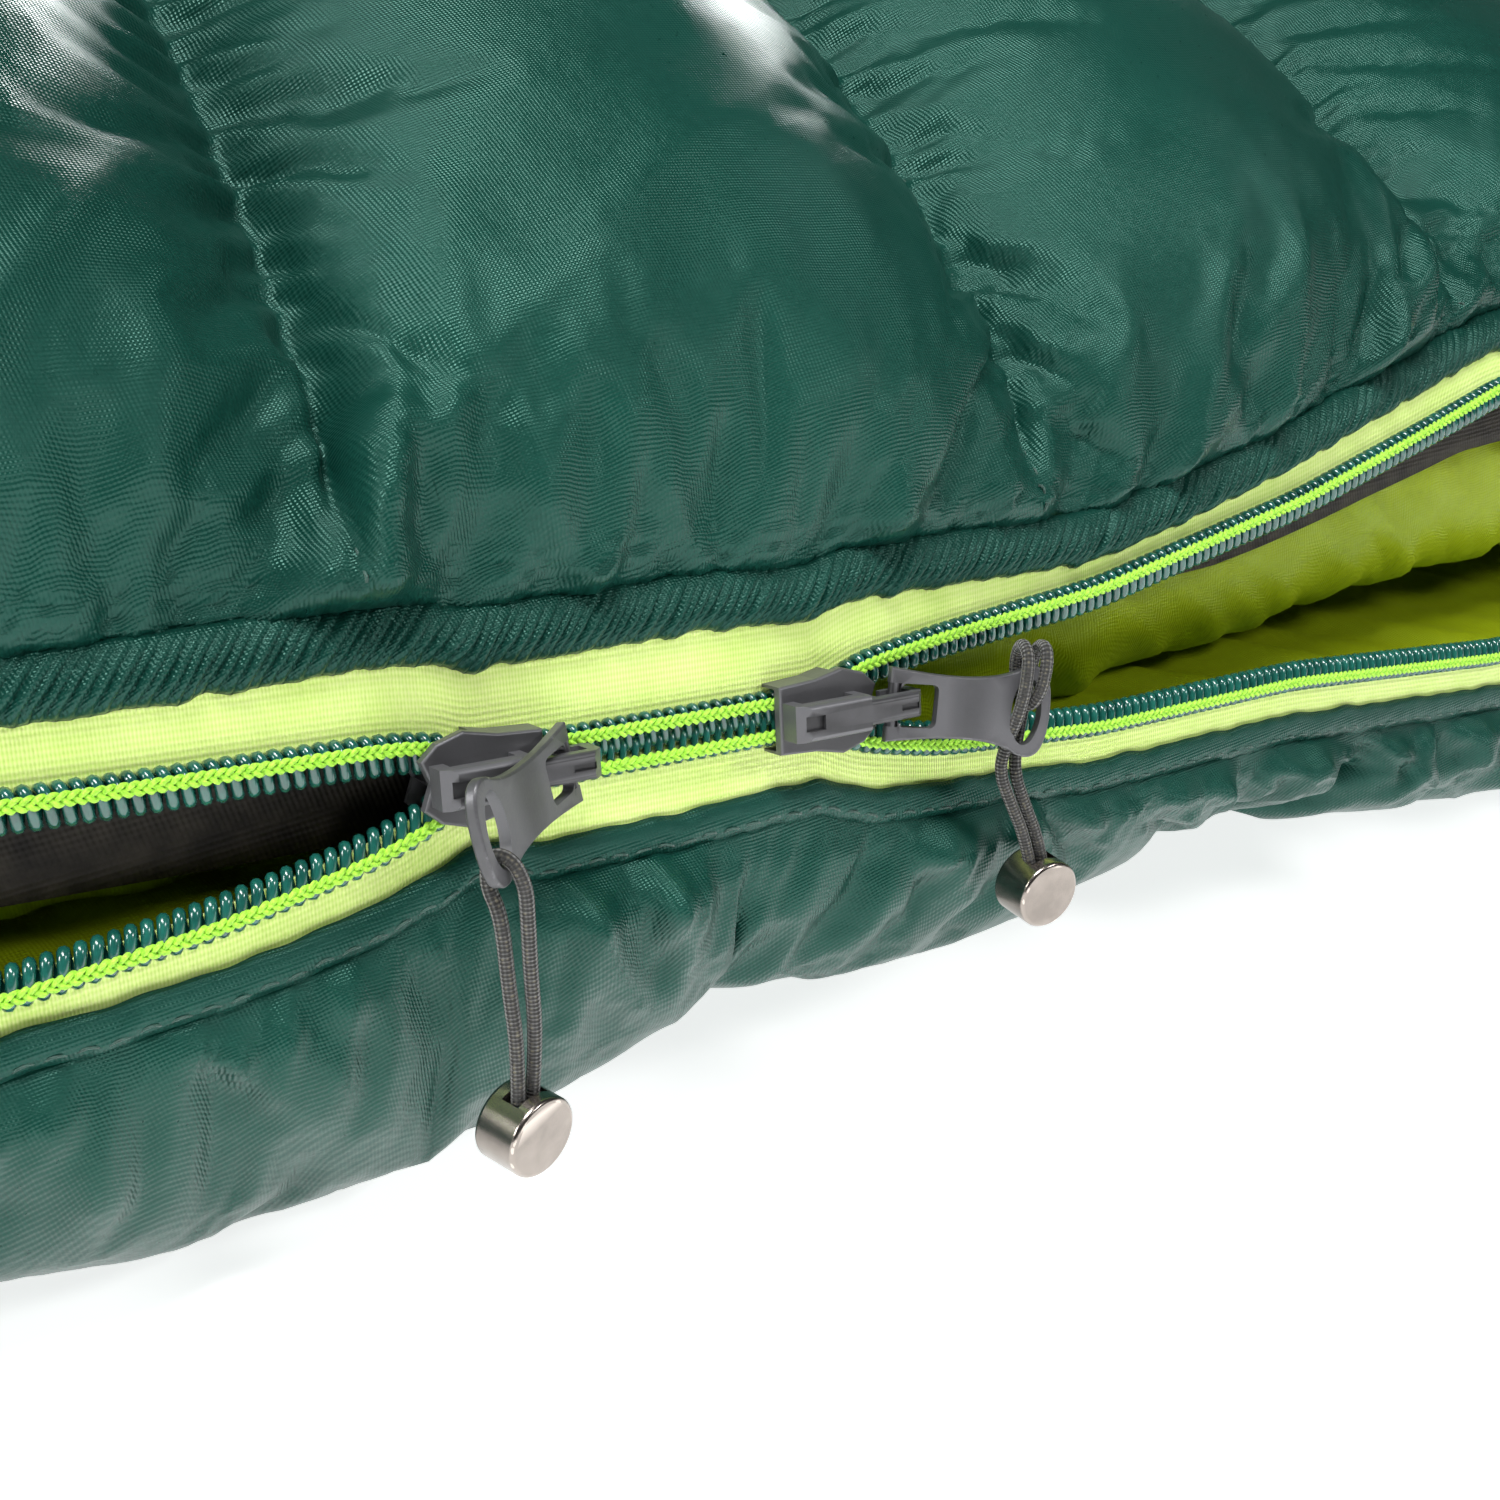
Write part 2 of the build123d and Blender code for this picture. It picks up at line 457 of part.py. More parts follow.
def slider_set(name, centre, body_turn, pose, hitch, bead_drop, bead_shift, bead_turn):
    """One slider with its pull tab, cord and bead; body_turn faces its wide end to the head or the foot."""
    seat = ZIP_PLANE * Pos(centre, 0, 0)
    body = slider_body(TOOTH_X * cos(radians(body_turn)))
    keep(f"{name}_slider_body", seat * Rot(0, 0, body_turn) * body)
    keep(f"{name}_slider_crown", seat * slider_crown())
    keep(f"{name}_slider_lock_spring", seat * slider_spring())
    swing, droop = pose
    # droop turns the tab in the zip plane, towards the floor
    tab_seat = seat * Pos(BAR_X, 0, BAR_N) * Rot(0, 0, droop) * Rot(0, -swing, 0)
    tab, ring_x = pull_tab()
    keep(f"{name}_pull_tab", tab_seat * tab)

    def on_tab(x, y, z):
        return (tab_seat * Pos(ring_x + x, y, z)).position

    loop = [on_tab(*point) for point in hitch]
    first, last = loop[0], loop[-1]
    middle = (first + last) * 0.5
    bead_top = Vector(middle.X + bead_shift[0], middle.Y + bead_shift[1], middle.Z - bead_drop)
    spread = Vector(cos(radians(bead_turn)), sin(radians(bead_turn)), 0)
    order = 1 if (last - first).dot(spread) > 0 else -1
    ends = [bead_top - spread * STRAND_GAP * order, bead_top + spread * STRAND_GAP * order]
    bow = Vector(0.5, -0.4, 0)
    left = [ends[0] + (first - ends[0]) * share + bow * lift for share, lift in ((0.36, 1), (0.7, 0.3))]
    right = [ends[1] + (last - ends[1]) * share + bow * lift for share, lift in ((0.66, 0.2), (0.32, 0.9))]
    route = [ends[0], *left, *loop, *right, ends[1]]
    print(name, "route", [tuple(round(c, 2) for c in point) for point in route])
    keep(f"{name}_pull_cord", cord_tube(route))
    wide, deep, high = BEAD_SLOT
    disc = Rot(90, 0, 0) * Cylinder(BEAD_R, BEAD_THICK)
    disc = fillet(disc.edges().filter_by(GeomType.CIRCLE), 0.5)
    disc -= Pos(0, 0, BEAD_R - high / 2 + 0.5) * Box(wide, deep, high + 1)
    sink = BEAD_R - high + 0.05
    bead_seat = Pos(bead_top.X, bead_top.Y, bead_top.Z - sink) * Rot(0, 0, bead_turn)
    keep(f"{name}_cord_bead", bead_seat * disc)
    pivot = (seat * Pos(BAR_X, 0, BAR_N)).position
    axis = (tab_seat * Pos(0, 1, 0)).position - tab_seat.position
    print(name, "pivot", [round(c / 1000, 6) for c in pivot], "axis", [round(c, 6) for c in axis])


slider_set("upper", HEAD_SLIDER_AT, 0, UPPER_TAB_POSE, UPPER_HITCH, 14.0, (5.0, -3.2), -8.0)
slider_set("lower", -FOOT_SLIDER_AT, 180, LOWER_TAB_POSE, LOWER_HITCH, 22.5, (1.1, -0.9), 12.0)
print("slide axis", [round(c, 6) for c in ZIP_U])
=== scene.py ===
# Mummy sleeping bag, lying on its back with its side zip partly open round two sliders.
# Lengths are millimetres and turned to metres by MM, unless a comment says otherwise.
import bmesh
import bpy
import json
import numpy as np
from math import cos, pi, radians, sin
from mathutils import Matrix, Vector


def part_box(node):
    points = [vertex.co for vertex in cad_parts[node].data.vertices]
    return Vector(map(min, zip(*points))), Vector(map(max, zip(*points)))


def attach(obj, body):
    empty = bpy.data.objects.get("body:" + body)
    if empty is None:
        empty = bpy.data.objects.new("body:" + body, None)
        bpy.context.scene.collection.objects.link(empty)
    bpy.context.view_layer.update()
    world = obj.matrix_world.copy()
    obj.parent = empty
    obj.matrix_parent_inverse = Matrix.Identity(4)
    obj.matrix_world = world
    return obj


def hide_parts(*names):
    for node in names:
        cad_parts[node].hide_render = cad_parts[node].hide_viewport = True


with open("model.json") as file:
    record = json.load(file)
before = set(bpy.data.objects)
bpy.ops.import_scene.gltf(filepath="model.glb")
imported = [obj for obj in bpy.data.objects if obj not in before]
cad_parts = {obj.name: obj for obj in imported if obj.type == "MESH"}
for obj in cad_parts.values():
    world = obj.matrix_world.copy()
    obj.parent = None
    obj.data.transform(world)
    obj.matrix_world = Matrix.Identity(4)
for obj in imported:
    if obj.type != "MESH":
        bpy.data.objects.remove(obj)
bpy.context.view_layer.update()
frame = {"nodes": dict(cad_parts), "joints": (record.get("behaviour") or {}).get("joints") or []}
MM = 0.001
FAR_SIDE = np.array([1, -1, 1])     # mirrors a point to the side without the zip
GROUND = 0.0004                     # lowest that the cloth lies, in metres
CLOTH = 0.0003                      # shell cloth's thickness, in metres


# ---- the zip's own frame: s along the zip, w up across it, n out of it, in millimetres ----
def joint(name):
    return next(j for j in frame["joints"] if j["name"] == name)


ZIP_LEAN = radians(12)
ALONG = np.array(joint("upper_slider_travel")["axis"], float)
UP = np.array([0, 0, 1.0])
OUT = np.cross(ALONG, UP)
NORMAL = OUT * cos(ZIP_LEAN) + UP * sin(ZIP_LEAN)


def middle(node):
    low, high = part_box(node)
    return np.array((low + high) / 2)


UPPER_AT = 17.7           # the upper slider's centre along the zip
LOWER_AT = -24.5          # the lower slider's
BODY_OFFSET = (0.25, 0.175)   # a slider body's middle lies this far past that centre and behind the zip plane
ZIP_MID = middle("upper_slider_body") - (ALONG * (UPPER_AT + BODY_OFFSET[0]) - NORMAL * BODY_OFFSET[1]) * MM


# ---- camera ----
cam_data = bpy.data.cameras.new("camera")
cam = bpy.data.objects.new("camera", cam_data)
bpy.context.scene.collection.objects.link(cam)
bpy.context.scene.camera = cam
cam_data.sensor_width = 36
cam_data.lens = 41.2
cam_data.clip_start = 0.01
cam.location = (-0.109, -0.4798, 0.1329)
YAW, PITCH, ROLL = radians(41.45), radians(23.18), radians(4.49)
forward = Vector((sin(YAW) * cos(PITCH), cos(YAW) * cos(PITCH), -sin(PITCH)))
level = Vector((cos(YAW), -sin(YAW), 0))
rise = level.cross(forward)
right = level * cos(ROLL) + rise * sin(ROLL)
top = rise * cos(ROLL) - level * sin(ROLL)
cam.matrix_world = Matrix.Translation(cam.location) @ Matrix((right, top, -forward)).transposed().to_4x4()


# ---- shader helpers ----
class Value:
    """A number socket that adds Math nodes when it is used in arithmetic."""

    def __init__(self, finish, socket):
        self.finish = finish
        self.socket = socket

    def _math(self, operation, *inputs):
        node = self.finish.node("ShaderNodeMath", {"operation": operation}, inputs)
        return Value(self.finish, node.outputs[0])

    def __add__(self, other):
        return self._math("ADD", self, other)

    def __mul__(self, other):
        return self._math("MULTIPLY", self, other)

    def __sub__(self, other):
        return self._math("SUBTRACT", self, other)

    def __rsub__(self, other):
        return self._math("SUBTRACT", other, self)

    __radd__ = __add__
    __rmul__ = __mul__

    def sine(self):
        return self._math("SINE", self)


class Finish:
    """One procedural material."""

    def __init__(self, name):
        self.material = bpy.data.materials.new(name)
        self.material.use_nodes = True
        self.tree = self.material.node_tree
        self.shader = self.tree.nodes["Principled BSDF"]

    def link(self, value, socket):
        """Join a value to a socket, or set it there when it is a constant."""
        if isinstance(value, Value):
            value = value.socket
        if isinstance(value, bpy.types.NodeSocket):
            self.tree.links.new(value, socket)
        else:
            socket.default_value = value

    def node(self, kind, settings=None, inputs=()):
        node = self.tree.nodes.new(kind)
        for key, value in (settings or {}).items():
            setattr(node, key, value)
        pairs = inputs.items() if isinstance(inputs, dict) else enumerate(inputs)
        for key, value in pairs:
            self.link(value, node.inputs[key])
        return node

    def set(self, **values):
        for key, value in values.items():
            self.link(value, self.shader.inputs[key.replace("_", " ")])
        return self

    def place(self, kind="Object"):
        return self.node("ShaderNodeTexCoord").outputs[kind]

    def noise(self, where, scale, detail=3.0, rough=0.5):
        made = self.node("ShaderNodeTexNoise", {}, {"Vector": where, "Scale": scale, "Detail": detail,
                                                     "Roughness": rough})
        return Value(self, made.outputs["Fac"])

    def split(self, where):
        parts = self.node("ShaderNodeSeparateXYZ", {}, [where])
        return [Value(self, out) for out in parts.outputs]

    def ramp(self, value, *stops):
        made = self.node("ShaderNodeValToRGB", {}, [value])
        ramp = made.color_ramp
        while len(ramp.elements) < len(stops):
            ramp.elements.new(0.5)
        for element, (at, color) in zip(ramp.elements, stops):
            element.position = at
            element.color = (*color, 1)
        return made.outputs["Color"]

    def bump(self, height, strength, distance, under=None):
        inputs = {"Strength": strength, "Distance": distance, "Height": height}
        if under is not None:
            inputs["Normal"] = under
        return self.node("ShaderNodeBump", {}, inputs).outputs["Normal"]


def weave(f, where, pitch):
    """Plain-weave height from two crossed thread waves on coordinates in metres."""
    x, y, z = f.split(where)
    k = 2 * pi / pitch
    return ((x + z * 0.3) * k).sine() * 0.5 + ((y + z * 0.8) * k).sine() * 0.5


def shell_finish(name, dark, light, gloss):
    """Satin down-proof nylon."""
    f = Finish(name)
    where = f.place()
    cloud = f.noise(where, 18, 4, 0.55)
    fine = f.noise(where, 900, 2, 0.6)
    color = f.ramp(cloud * 0.75 + fine * 0.25, (0.3, dark), (0.72, light))
    crinkle = f.noise(where, 150, 4, 0.6)
    height = weave(f, where, 0.00042) * 0.12 + crinkle
    normal = f.bump(height, 0.5, 0.0006)
    f.set(Base_Color=color, Roughness=fine * 0.12 + gloss, Normal=normal, Specular_IOR_Level=0.4,
          Specular_Tint=(0.42, 0.88, 0.74, 1))
    return f.material


def tape_finish():
    """Woven neon tape: ribs across its length, on the strip's own coordinates in metres."""
    f = Finish("neon_tape")
    u, v, _ = f.split(f.place("UV"))
    ribs = (u * (2 * pi / 0.00036)).sine()
    rows = (v * (2 * pi / 0.0007)).sine()
    worn = f.noise(f.place(), 140, 3)
    color = f.ramp(ribs * 0.16 + rows * 0.1 + worn * 0.5 + 0.25, (0.15, (0.55, 0.80, 0.13)), (0.6, (0.76, 0.93, 0.29)),
                   (0.95, (0.88, 0.98, 0.42)))
    normal = f.bump(ribs * 0.6 + rows * 0.5, 0.5, 0.00009)
    f.set(Base_Color=color, Roughness=0.62, Normal=normal, Sheen_Weight=0.25, Sheen_Roughness=0.5)
    return f.material


def thread_finish(name, dark, light, rough):
    """Sewing thread: twisted fibres seen as fine noise."""
    f = Finish(name)
    where = f.place()
    fibre = f.noise(where, 2600, 2, 0.7)
    color = f.ramp(fibre, (0.3, dark), (0.65, light))
    f.set(Base_Color=color, Roughness=rough, Normal=f.bump(fibre, 0.5, 0.0002), Sheen_Weight=0.2)
    return f.material


def coil_finish():
    f = Finish("coil_nylon")
    where = f.place()
    cloud = f.noise(where, 420, 3)
    color = f.ramp(cloud, (0.3, (0.004, 0.055, 0.043)), (0.7, (0.010, 0.11, 0.085)))
    f.set(Base_Color=color, Roughness=cloud * 0.12 + 0.14, Specular_IOR_Level=0.6, Coat_Weight=0.5)
    return f.material


def metal_finish(name, dark, light, metallic, rough, grain):
    """Lacquered or polished metal with faint casting grain, and a painted highlight on its edges: a lighter copy of
    its colour where the mesh is pointy.
    """
    f = Finish(name)
    where = f.place()
    cloud = f.noise(where, 260, 4, 0.6)
    speck = f.noise(where, 3200, 2, 0.6)
    # Painted highlight: convex edges, picked out by pointiness, get a lighter copy of the metal's colour.
    edge = f.node("ShaderNodeNewGeometry").outputs["Pointiness"]
    painted_edge_highlight = f.ramp(edge, (0.5, (0, 0, 0)), (0.56, (1, 1, 1)))
    base = f.ramp(cloud, (0.3, dark), (0.75, light))
    edge_highlight_color = tuple(min(1.0, c * 1.9) for c in light)
    mix = f.node("ShaderNodeMix", {"data_type": "RGBA"}, {"Factor": painted_edge_highlight, "A": base, "B": (*edge_highlight_color, 1)})
    f.set(Base_Color=mix.outputs["Result"], Metallic=metallic, Roughness=speck * 0.12 + rough,
          Normal=f.bump(speck * 0.5 + cloud, grain, 0.00006))
    return f.material


def cord_finish():
    """Braided sleeve: two crossed sets of picks on the cord's own coordinates."""
    f = Finish("cord_braid")
    u, v, _ = f.split(f.place("UV"))
    a = (u * (2 * pi / 0.0009) + v * (2 * pi * 4)).sine()
    b = (u * (2 * pi / 0.0009) - v * (2 * pi * 4)).sine()
    fleck = f.noise(f.place(), 1500, 1)
    pick = a * b
    color = f.ramp(pick * 0.22 + fleck * 0.9, (0.38, (0.008, 0.008, 0.007)), (0.6, (0.024, 0.022, 0.018)),
                   (0.76, (0.11, 0.10, 0.065)))
    f.set(Base_Color=color, Roughness=0.75, Normal=f.bump(pick, 0.8, 0.00022), Sheen_Weight=0.3)
    return f.material


def plain_cloth(name, dark, light, rough, scale):
    f = Finish(name)
    where = f.place()
    cloud = f.noise(where, scale, 4)
    color = f.ramp(cloud, (0.3, dark), (0.7, light))
    f.set(Base_Color=color, Roughness=rough, Normal=f.bump(weave(f, where, 0.0006) * 0.3 + cloud, 0.4, 0.0005),
          Specular_IOR_Level=0.2)
    return f.material


SHELL = shell_finish("shell_nylon", (0.002, 0.026, 0.019), (0.005, 0.045, 0.033), 0.24)
LINING = shell_finish("lining_nylon", (0.22, 0.29, 0.003), (0.36, 0.44, 0.006), 0.36)
TAPE = tape_finish()
STITCH = thread_finish("lime_thread", (0.20, 0.50, 0.01), (0.46, 0.86, 0.06), 0.55)
SEAM_THREAD = thread_finish("seam_thread", (0.005, 0.03, 0.022), (0.02, 0.08, 0.06), 0.5)
COIL = coil_finish()
SNAG = plain_cloth("snag_fabric", (0.006, 0.005, 0.004), (0.028, 0.024, 0.018), 0.6, 300)
METAL = metal_finish("slider_metal", (0.036, 0.036, 0.038), (0.060, 0.060, 0.064), 0.4, 0.36, 0.5)
BEAD = metal_finish("bead_metal", (0.16, 0.142, 0.128), (0.25, 0.222, 0.2), 1.0, 0.17, 0.1)
SPRING = metal_finish("spring_steel", (0.45, 0.45, 0.46), (0.6, 0.6, 0.61), 1.0, 0.25, 0.1)
CORD = cord_finish()
WEBBING = plain_cloth("webbing", (0.008, 0.012, 0.011), (0.02, 0.028, 0.026), 0.8, 500)


# ---- mesh helpers ----
def finish_mesh(name, bm, material, smooth=True):
    mesh = bpy.data.meshes.new(name)
    bm.to_mesh(mesh)
    bm.free()
    mesh.materials.append(material)
    mesh.polygons.foreach_set("use_smooth", [smooth] * len(mesh.polygons))
    piece = bpy.data.objects.new(name, mesh)
    bpy.context.scene.collection.objects.link(piece)
    return piece


def sheet_bm(us, vs, shape, closed_u=False, closed_v=False, hole=None):
    """A grid with its vertices moved to shape(u, v), in metres, and (u, v) kept as its UV map in metres."""
    us, vs = np.asarray(us, float), np.asarray(vs, float)
    nu, nv = len(us) - 1, len(vs) - 1
    bm = bmesh.new()
    uv_layer = bm.loops.layers.uv.new("UVMap")
    bmesh.ops.create_grid(bm, x_segments=nu, y_segments=nv, size=1)
    co = np.array([v.co for v in bm.verts])
    i = np.rint((co[:, 0] + 1) / 2 * nu).astype(int)
    j = np.rint((co[:, 1] + 1) / 2 * nv).astype(int)
    u, v = us[i], vs[j]
    points = shape(u, v)
    for vert, point in zip(bm.verts, points):
        vert.co = point
    for face in bm.faces:
        for loop in face.loops:
            k = loop.vert.index
            loop[uv_layer].uv = (u[k] * MM, v[k] * MM)
    if hole is not None:
        gone = hole(u, v)
        faces = [f for f in bm.faces if any(gone[vert.index] for vert in f.verts)]
        bmesh.ops.delete(bm, geom=faces, context="FACES")
    if closed_u or closed_v:
        bmesh.ops.remove_doubles(bm, verts=bm.verts, dist=1e-6)
    return bm


def sheet(name, us, vs, shape, material, thick=0.0, **kinds):
    piece = finish_mesh(name, sheet_bm(us, vs, shape, **kinds), material)
    if thick:
        wall = piece.modifiers.new("wall", "SOLIDIFY")
        wall.thickness = thick
        wall.offset = 0
    return piece


def tube_bm(path, radius, sides, flat=1.0):
    """Tube along a line of points in metres, with frames carried along it."""
    path = np.asarray(path, float)
    tangent = np.gradient(path, axis=0)
    tangent /= np.linalg.norm(tangent, axis=1)[:, None]
    side = np.cross(tangent, NORMAL)
    weak = np.linalg.norm(side, axis=1) < 0.3
    side[weak] = np.cross(tangent[weak], ALONG)
    for k in range(1, len(path)):
        carried = side[k - 1] - tangent[k] * (side[k - 1] @ tangent[k])
        side[k] = carried / np.linalg.norm(carried)
    side[0] /= np.linalg.norm(side[0])
    other = np.cross(tangent, side)
    radius = np.broadcast_to(radius, len(path))
    run = np.concatenate([[0], np.cumsum(np.linalg.norm(np.diff(path, axis=0), axis=1))]) / MM

    def shape(u, v):
        k = np.rint(u).astype(int)
        turn = 2 * pi * v / sides
        ring = side[k] * np.cos(turn)[:, None] + other[k] * (np.sin(turn) * flat)[:, None]
        return path[k] + ring * radius[k][:, None]

    bm = sheet_bm(range(len(path)), range(sides + 1), shape, closed_v=True)
    uv_layer = bm.loops.layers.uv[0]
    for face in bm.faces:
        for loop in face.loops:
            k, turn = loop[uv_layer].uv / MM
            loop[uv_layer].uv = (run[int(round(k))] * MM, turn / sides)
    ends = [e for e in bm.edges if e.is_boundary]
    bmesh.ops.holes_fill(bm, edges=ends, sides=0)
    return bm


def tube(name, path, radius, sides, material, flat=1.0):
    return finish_mesh(name, tube_bm(path, radius, sides, flat), material)


def join(name, pieces):
    """One mesh from several pieces of one material."""
    bm = bmesh.new()
    for piece in pieces:
        bm.from_mesh(piece.data)
    material = pieces[0].data.materials[0]
    for piece in pieces:
        bpy.data.objects.remove(piece)
    return finish_mesh(name, bm, material)


def on_bag(piece, slot, *nodes):
    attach(piece, "bag")
    if nodes:
        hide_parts(*nodes)
    return piece


# ---- cords: each loop from its bead over the pull tab's ring and back ----
CORD_D = 1.5
UPPER_ROUTE = [(44.06, -360.83, 37.63), (42.78, -360.02, 42.63), (40.74, -358.59, 47.36),
               (39.11, -357.46, 51.53), (39.36, -357.82, 55.17), (39.29, -359.08, 59.05),
               (39.52, -359.45, 63.02), (40.17, -358.7, 66.79), (41.59, -355.96, 67.14), (41.95, -355.2, 63.92),
               (41.62, -356.51, 61.03), (41.2, -358.74, 59.57), (41.4, -360.18, 61.98), (41.93, -360.15, 64.98),
               (42.87, -358.92, 67.26), (44.26, -356.2, 66.27), (43.85, -356.18, 62.0), (42.5, -356.85, 57.0),
               (40.9, -358.05, 51.73), (42.71, -359.17, 46.93), (44.78, -360.48, 42.14),
               (45.94, -361.09, 37.63)]
LOWER_ROUTE = [(-27.52, -358.49, 29.7), (-27.4, -358.92, 37.86), (-28.11, -358.68, 45.58),
               (-28.58, -358.59, 52.38), (-28.81, -358.47, 55.43), (-29.73, -357.41, 58.16),
               (-31.05, -355.55, 58.14), (-31.29, -355.39, 54.96), (-30.51, -356.97, 52.02),
               (-30.02, -357.7, 44.43), (-29.29, -358.63, 36.84), (-29.37, -358.88, 29.7)]


def route_line(name, route):
    """Points read from the route's own smooth spline."""
    curve = bpy.data.curves.new(name, "CURVE")
    curve.dimensions = "3D"
    curve.resolution_u = 14
    spline = curve.splines.new("NURBS")
    spline.points.add(len(route) - 1)
    for point, place in zip(spline.points, route):
        point.co = (*(c * MM for c in place), 1)
    spline.order_u = 3
    spline.use_endpoint_u = True
    holder = bpy.data.objects.new(name, curve)
    mesh = bpy.data.meshes.new_from_object(holder)
    line = np.array([v.co for v in mesh.vertices])
    bpy.data.objects.remove(holder)
    return line


def pull_cord(name, route, body):
    line = route_line(name, route)
    piece = tube(f"{name}_pull_cord_braid", line, CORD_D / 2 * MM, 14, CORD)
    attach(piece, body)
    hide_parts(f"{name}_pull_cord")


# ---- how far each tape stands off the zip line, and the curved section of the bag's side ----
UPPER_OFF = [(-700, 0), (-680, 0), (-610, 3), (-480, 10), (-330, 16), (-200, 12), (-90, 4), (-71, 2.9), (-56, 2.5),
             (-36, 2.2), (-32, 2.0), (-28.5, 1.4), (-25.5, 0.25), (-24.5, 0), (17.7, 0), (18.7, 0.25), (21.7, 1.6),
             (24.7, 2.7), (36, 4.4), (62, 7.2), (100, 15.2), (147, 28.5), (230, 37), (330, 28), (430, 12), (500, 6)]
LOWER_OFF = [(-700, 0), (-680, 0), (-610, 2), (-480, 6), (-330, 9), (-200, 12), (-90, 12), (-71, 10.8), (-52, 8.4),
             (-38, 5.4), (-32, 3.5), (-28.5, 1.7), (-25.5, 0.25), (-24.5, 0), (17.7, 0), (18.7, 0.25), (21.7, 1.7),
             (24.7, 3.0), (36, 5.2), (62, 6.9), (100, 6.4), (147, 9.2), (230, 9), (330, 7.5), (430, 4.5), (500, 3)]
# How far up each tape the cloth strip sewn over it begins.
UPPER_EDGE = [(-700, 8), (-110, 8), (-60, 8.6), (-25, 10.2), (5, 10.8), (20, 10), (32, 8), (45, 6.7), (62, 5),
              (80, 5.2), (110, 6.6), (160, 7.4), (500, 7.5)]
LOWER_EDGE = [(-700, 7), (-110, 5.2), (-80, 5.4), (-55, 6.6), (-30, 7.2), (-16, 9), (0, 9), (17, 8.4), (32, 7.2),
              (45, 6.4), (65, 7), (110, 7), (500, 7.5)]


def smooth_line(table, reach=7):
    at = np.arange(-720, 521, 1.0)
    raw = np.interp(at, *zip(*table))
    window = np.hanning(2 * reach + 1)
    soft = np.convolve(np.pad(raw, reach, mode="edge"), window / window.sum(), mode="valid")
    past = np.maximum(at - UPPER_AT, LOWER_AT - at)
    near = np.exp(-(np.maximum(past, 0) / 9) ** 2)
    mixed = soft * (1 - near) + raw * near
    return lambda s: np.interp(s, at, mixed)


off_up = smooth_line(UPPER_OFF)
off_down = smooth_line(LOWER_OFF)
edge_up = smooth_line(UPPER_EDGE)
edge_down = smooth_line(LOWER_EDGE)

# Angle of the side's section from upright, positive leaning in, against distance from the zip line.
HEADING = [(-130, -90), (-100, -88), (-80, -85), (-64, -78), (-52, -66), (-42, -48), (-33, -28), (-25, -6), (-18, 6),
           (-10, 12), (0, 12), (22, 13), (32, 26), (45, 44), (80, 57), (100, 64), (130, 73), (165, 81), (200, 87),
           (230, 90)]
SIDE_FOOT, SIDE_TOP = -130, 230     # where the section meets the underside and the flat of the top
steps = np.arange(SIDE_FOOT, SIDE_TOP + 1, 1.0)
heading = np.radians(np.interp(steps, *zip(*HEADING)))
inward = np.concatenate([[0], np.cumsum((np.sin(heading[1:]) + np.sin(heading[:-1])) / 2)])
height = np.concatenate([[0], np.cumsum((np.cos(heading[1:]) + np.cos(heading[:-1])) / 2)])
inward -= np.interp(0, steps, inward)
height -= np.interp(0, steps, height)


def side_point(s, w, n):
    """World point on the bag's zip side: s along, w round the section, n out of it."""
    s, w, n = np.broadcast_arrays(np.asarray(s, float), w, n)
    turn = np.interp(w, steps, heading)
    deep = np.interp(w, steps, inward) - n * np.cos(turn)
    high = np.interp(w, steps, height) + n * np.sin(turn)
    return ZIP_MID + (s[:, None] * ALONG - deep[:, None] * OUT + high[:, None] * UP) * MM


def round_section(s, q, n):
    """World point of the whole section: q as w up to the top's edge, then over the flat middle to the far side."""
    near = side_point(s, np.minimum(q, SIDE_TOP), n)
    flat = -2 * near[:, 1] / MM
    far_w = SIDE_TOP - (q - SIDE_TOP - flat)
    over = (q > SIDE_TOP) & (q < SIDE_TOP + flat)
    beyond = q >= SIDE_TOP + flat
    result = near.copy()
    result[over, 1] += (q[over] - SIDE_TOP) * MM
    mirror = side_point(s, np.maximum(far_w, SIDE_FOOT), n) * FAR_SIDE
    result[beyond] = mirror[beyond]
    return result


# ---- uneven spacing: fine round the sliders, coarse far from them ----
NEAR = (-110, 190)


def spaced(first, last, fine, coarse, near=NEAR):
    """Stations from first to last, fine apart inside near and growing to coarse outside it."""
    stations = [near[0]]
    step = fine
    while stations[-1] > first:
        step = min(step * 1.06, coarse)
        stations.append(stations[-1] - step)
    stations = stations[::-1]
    stations[0] = first
    stations += list(np.arange(near[0] + fine, near[1], fine))
    step = fine
    while stations[-1] < last:
        step = min(step * 1.06, coarse)
        stations.append(stations[-1] + step)
    stations[-1] = last
    return np.array(stations)


ZIP_FOOT, ZIP_HEAD = -700.0, 500.0
PANEL_FOOT, PANEL_HEAD = -767 / ALONG[0], 505 / ALONG[0]     # seams to the foot box and the hood
PITCH_COIL = 1.5


# ---- coils and their stitching ----
def coil(side, offset, name):
    runs = []
    for first, last, per_turn, sides in ((ZIP_FOOT, NEAR[0], 8, 5), (NEAR[0], NEAR[1], 18, 8),
                                         (NEAR[1], ZIP_HEAD, 8, 5)):
        turns = (last - first) / PITCH_COIL
        s = np.linspace(first, last, int(turns * per_turn) + 1)
        turn = 2 * pi * s / PITCH_COIL + (pi if side < 0 else 0)
        across = 1.2 + 1.62 * np.cos(turn)
        out = 0.80 * np.sign(np.sin(turn)) * np.abs(np.sin(turn)) ** 0.75
        apart = 1 - np.exp(-offset(s) / 0.8)
        wire = 0.40 + 0.18 * apart + 0.06 * np.abs(np.cos(turn)) ** 3
        path = side_point(s, side * (offset(s) + across), out)
        runs.append(tube(name, path, wire * MM, sides, COIL))
    return join(name, runs)


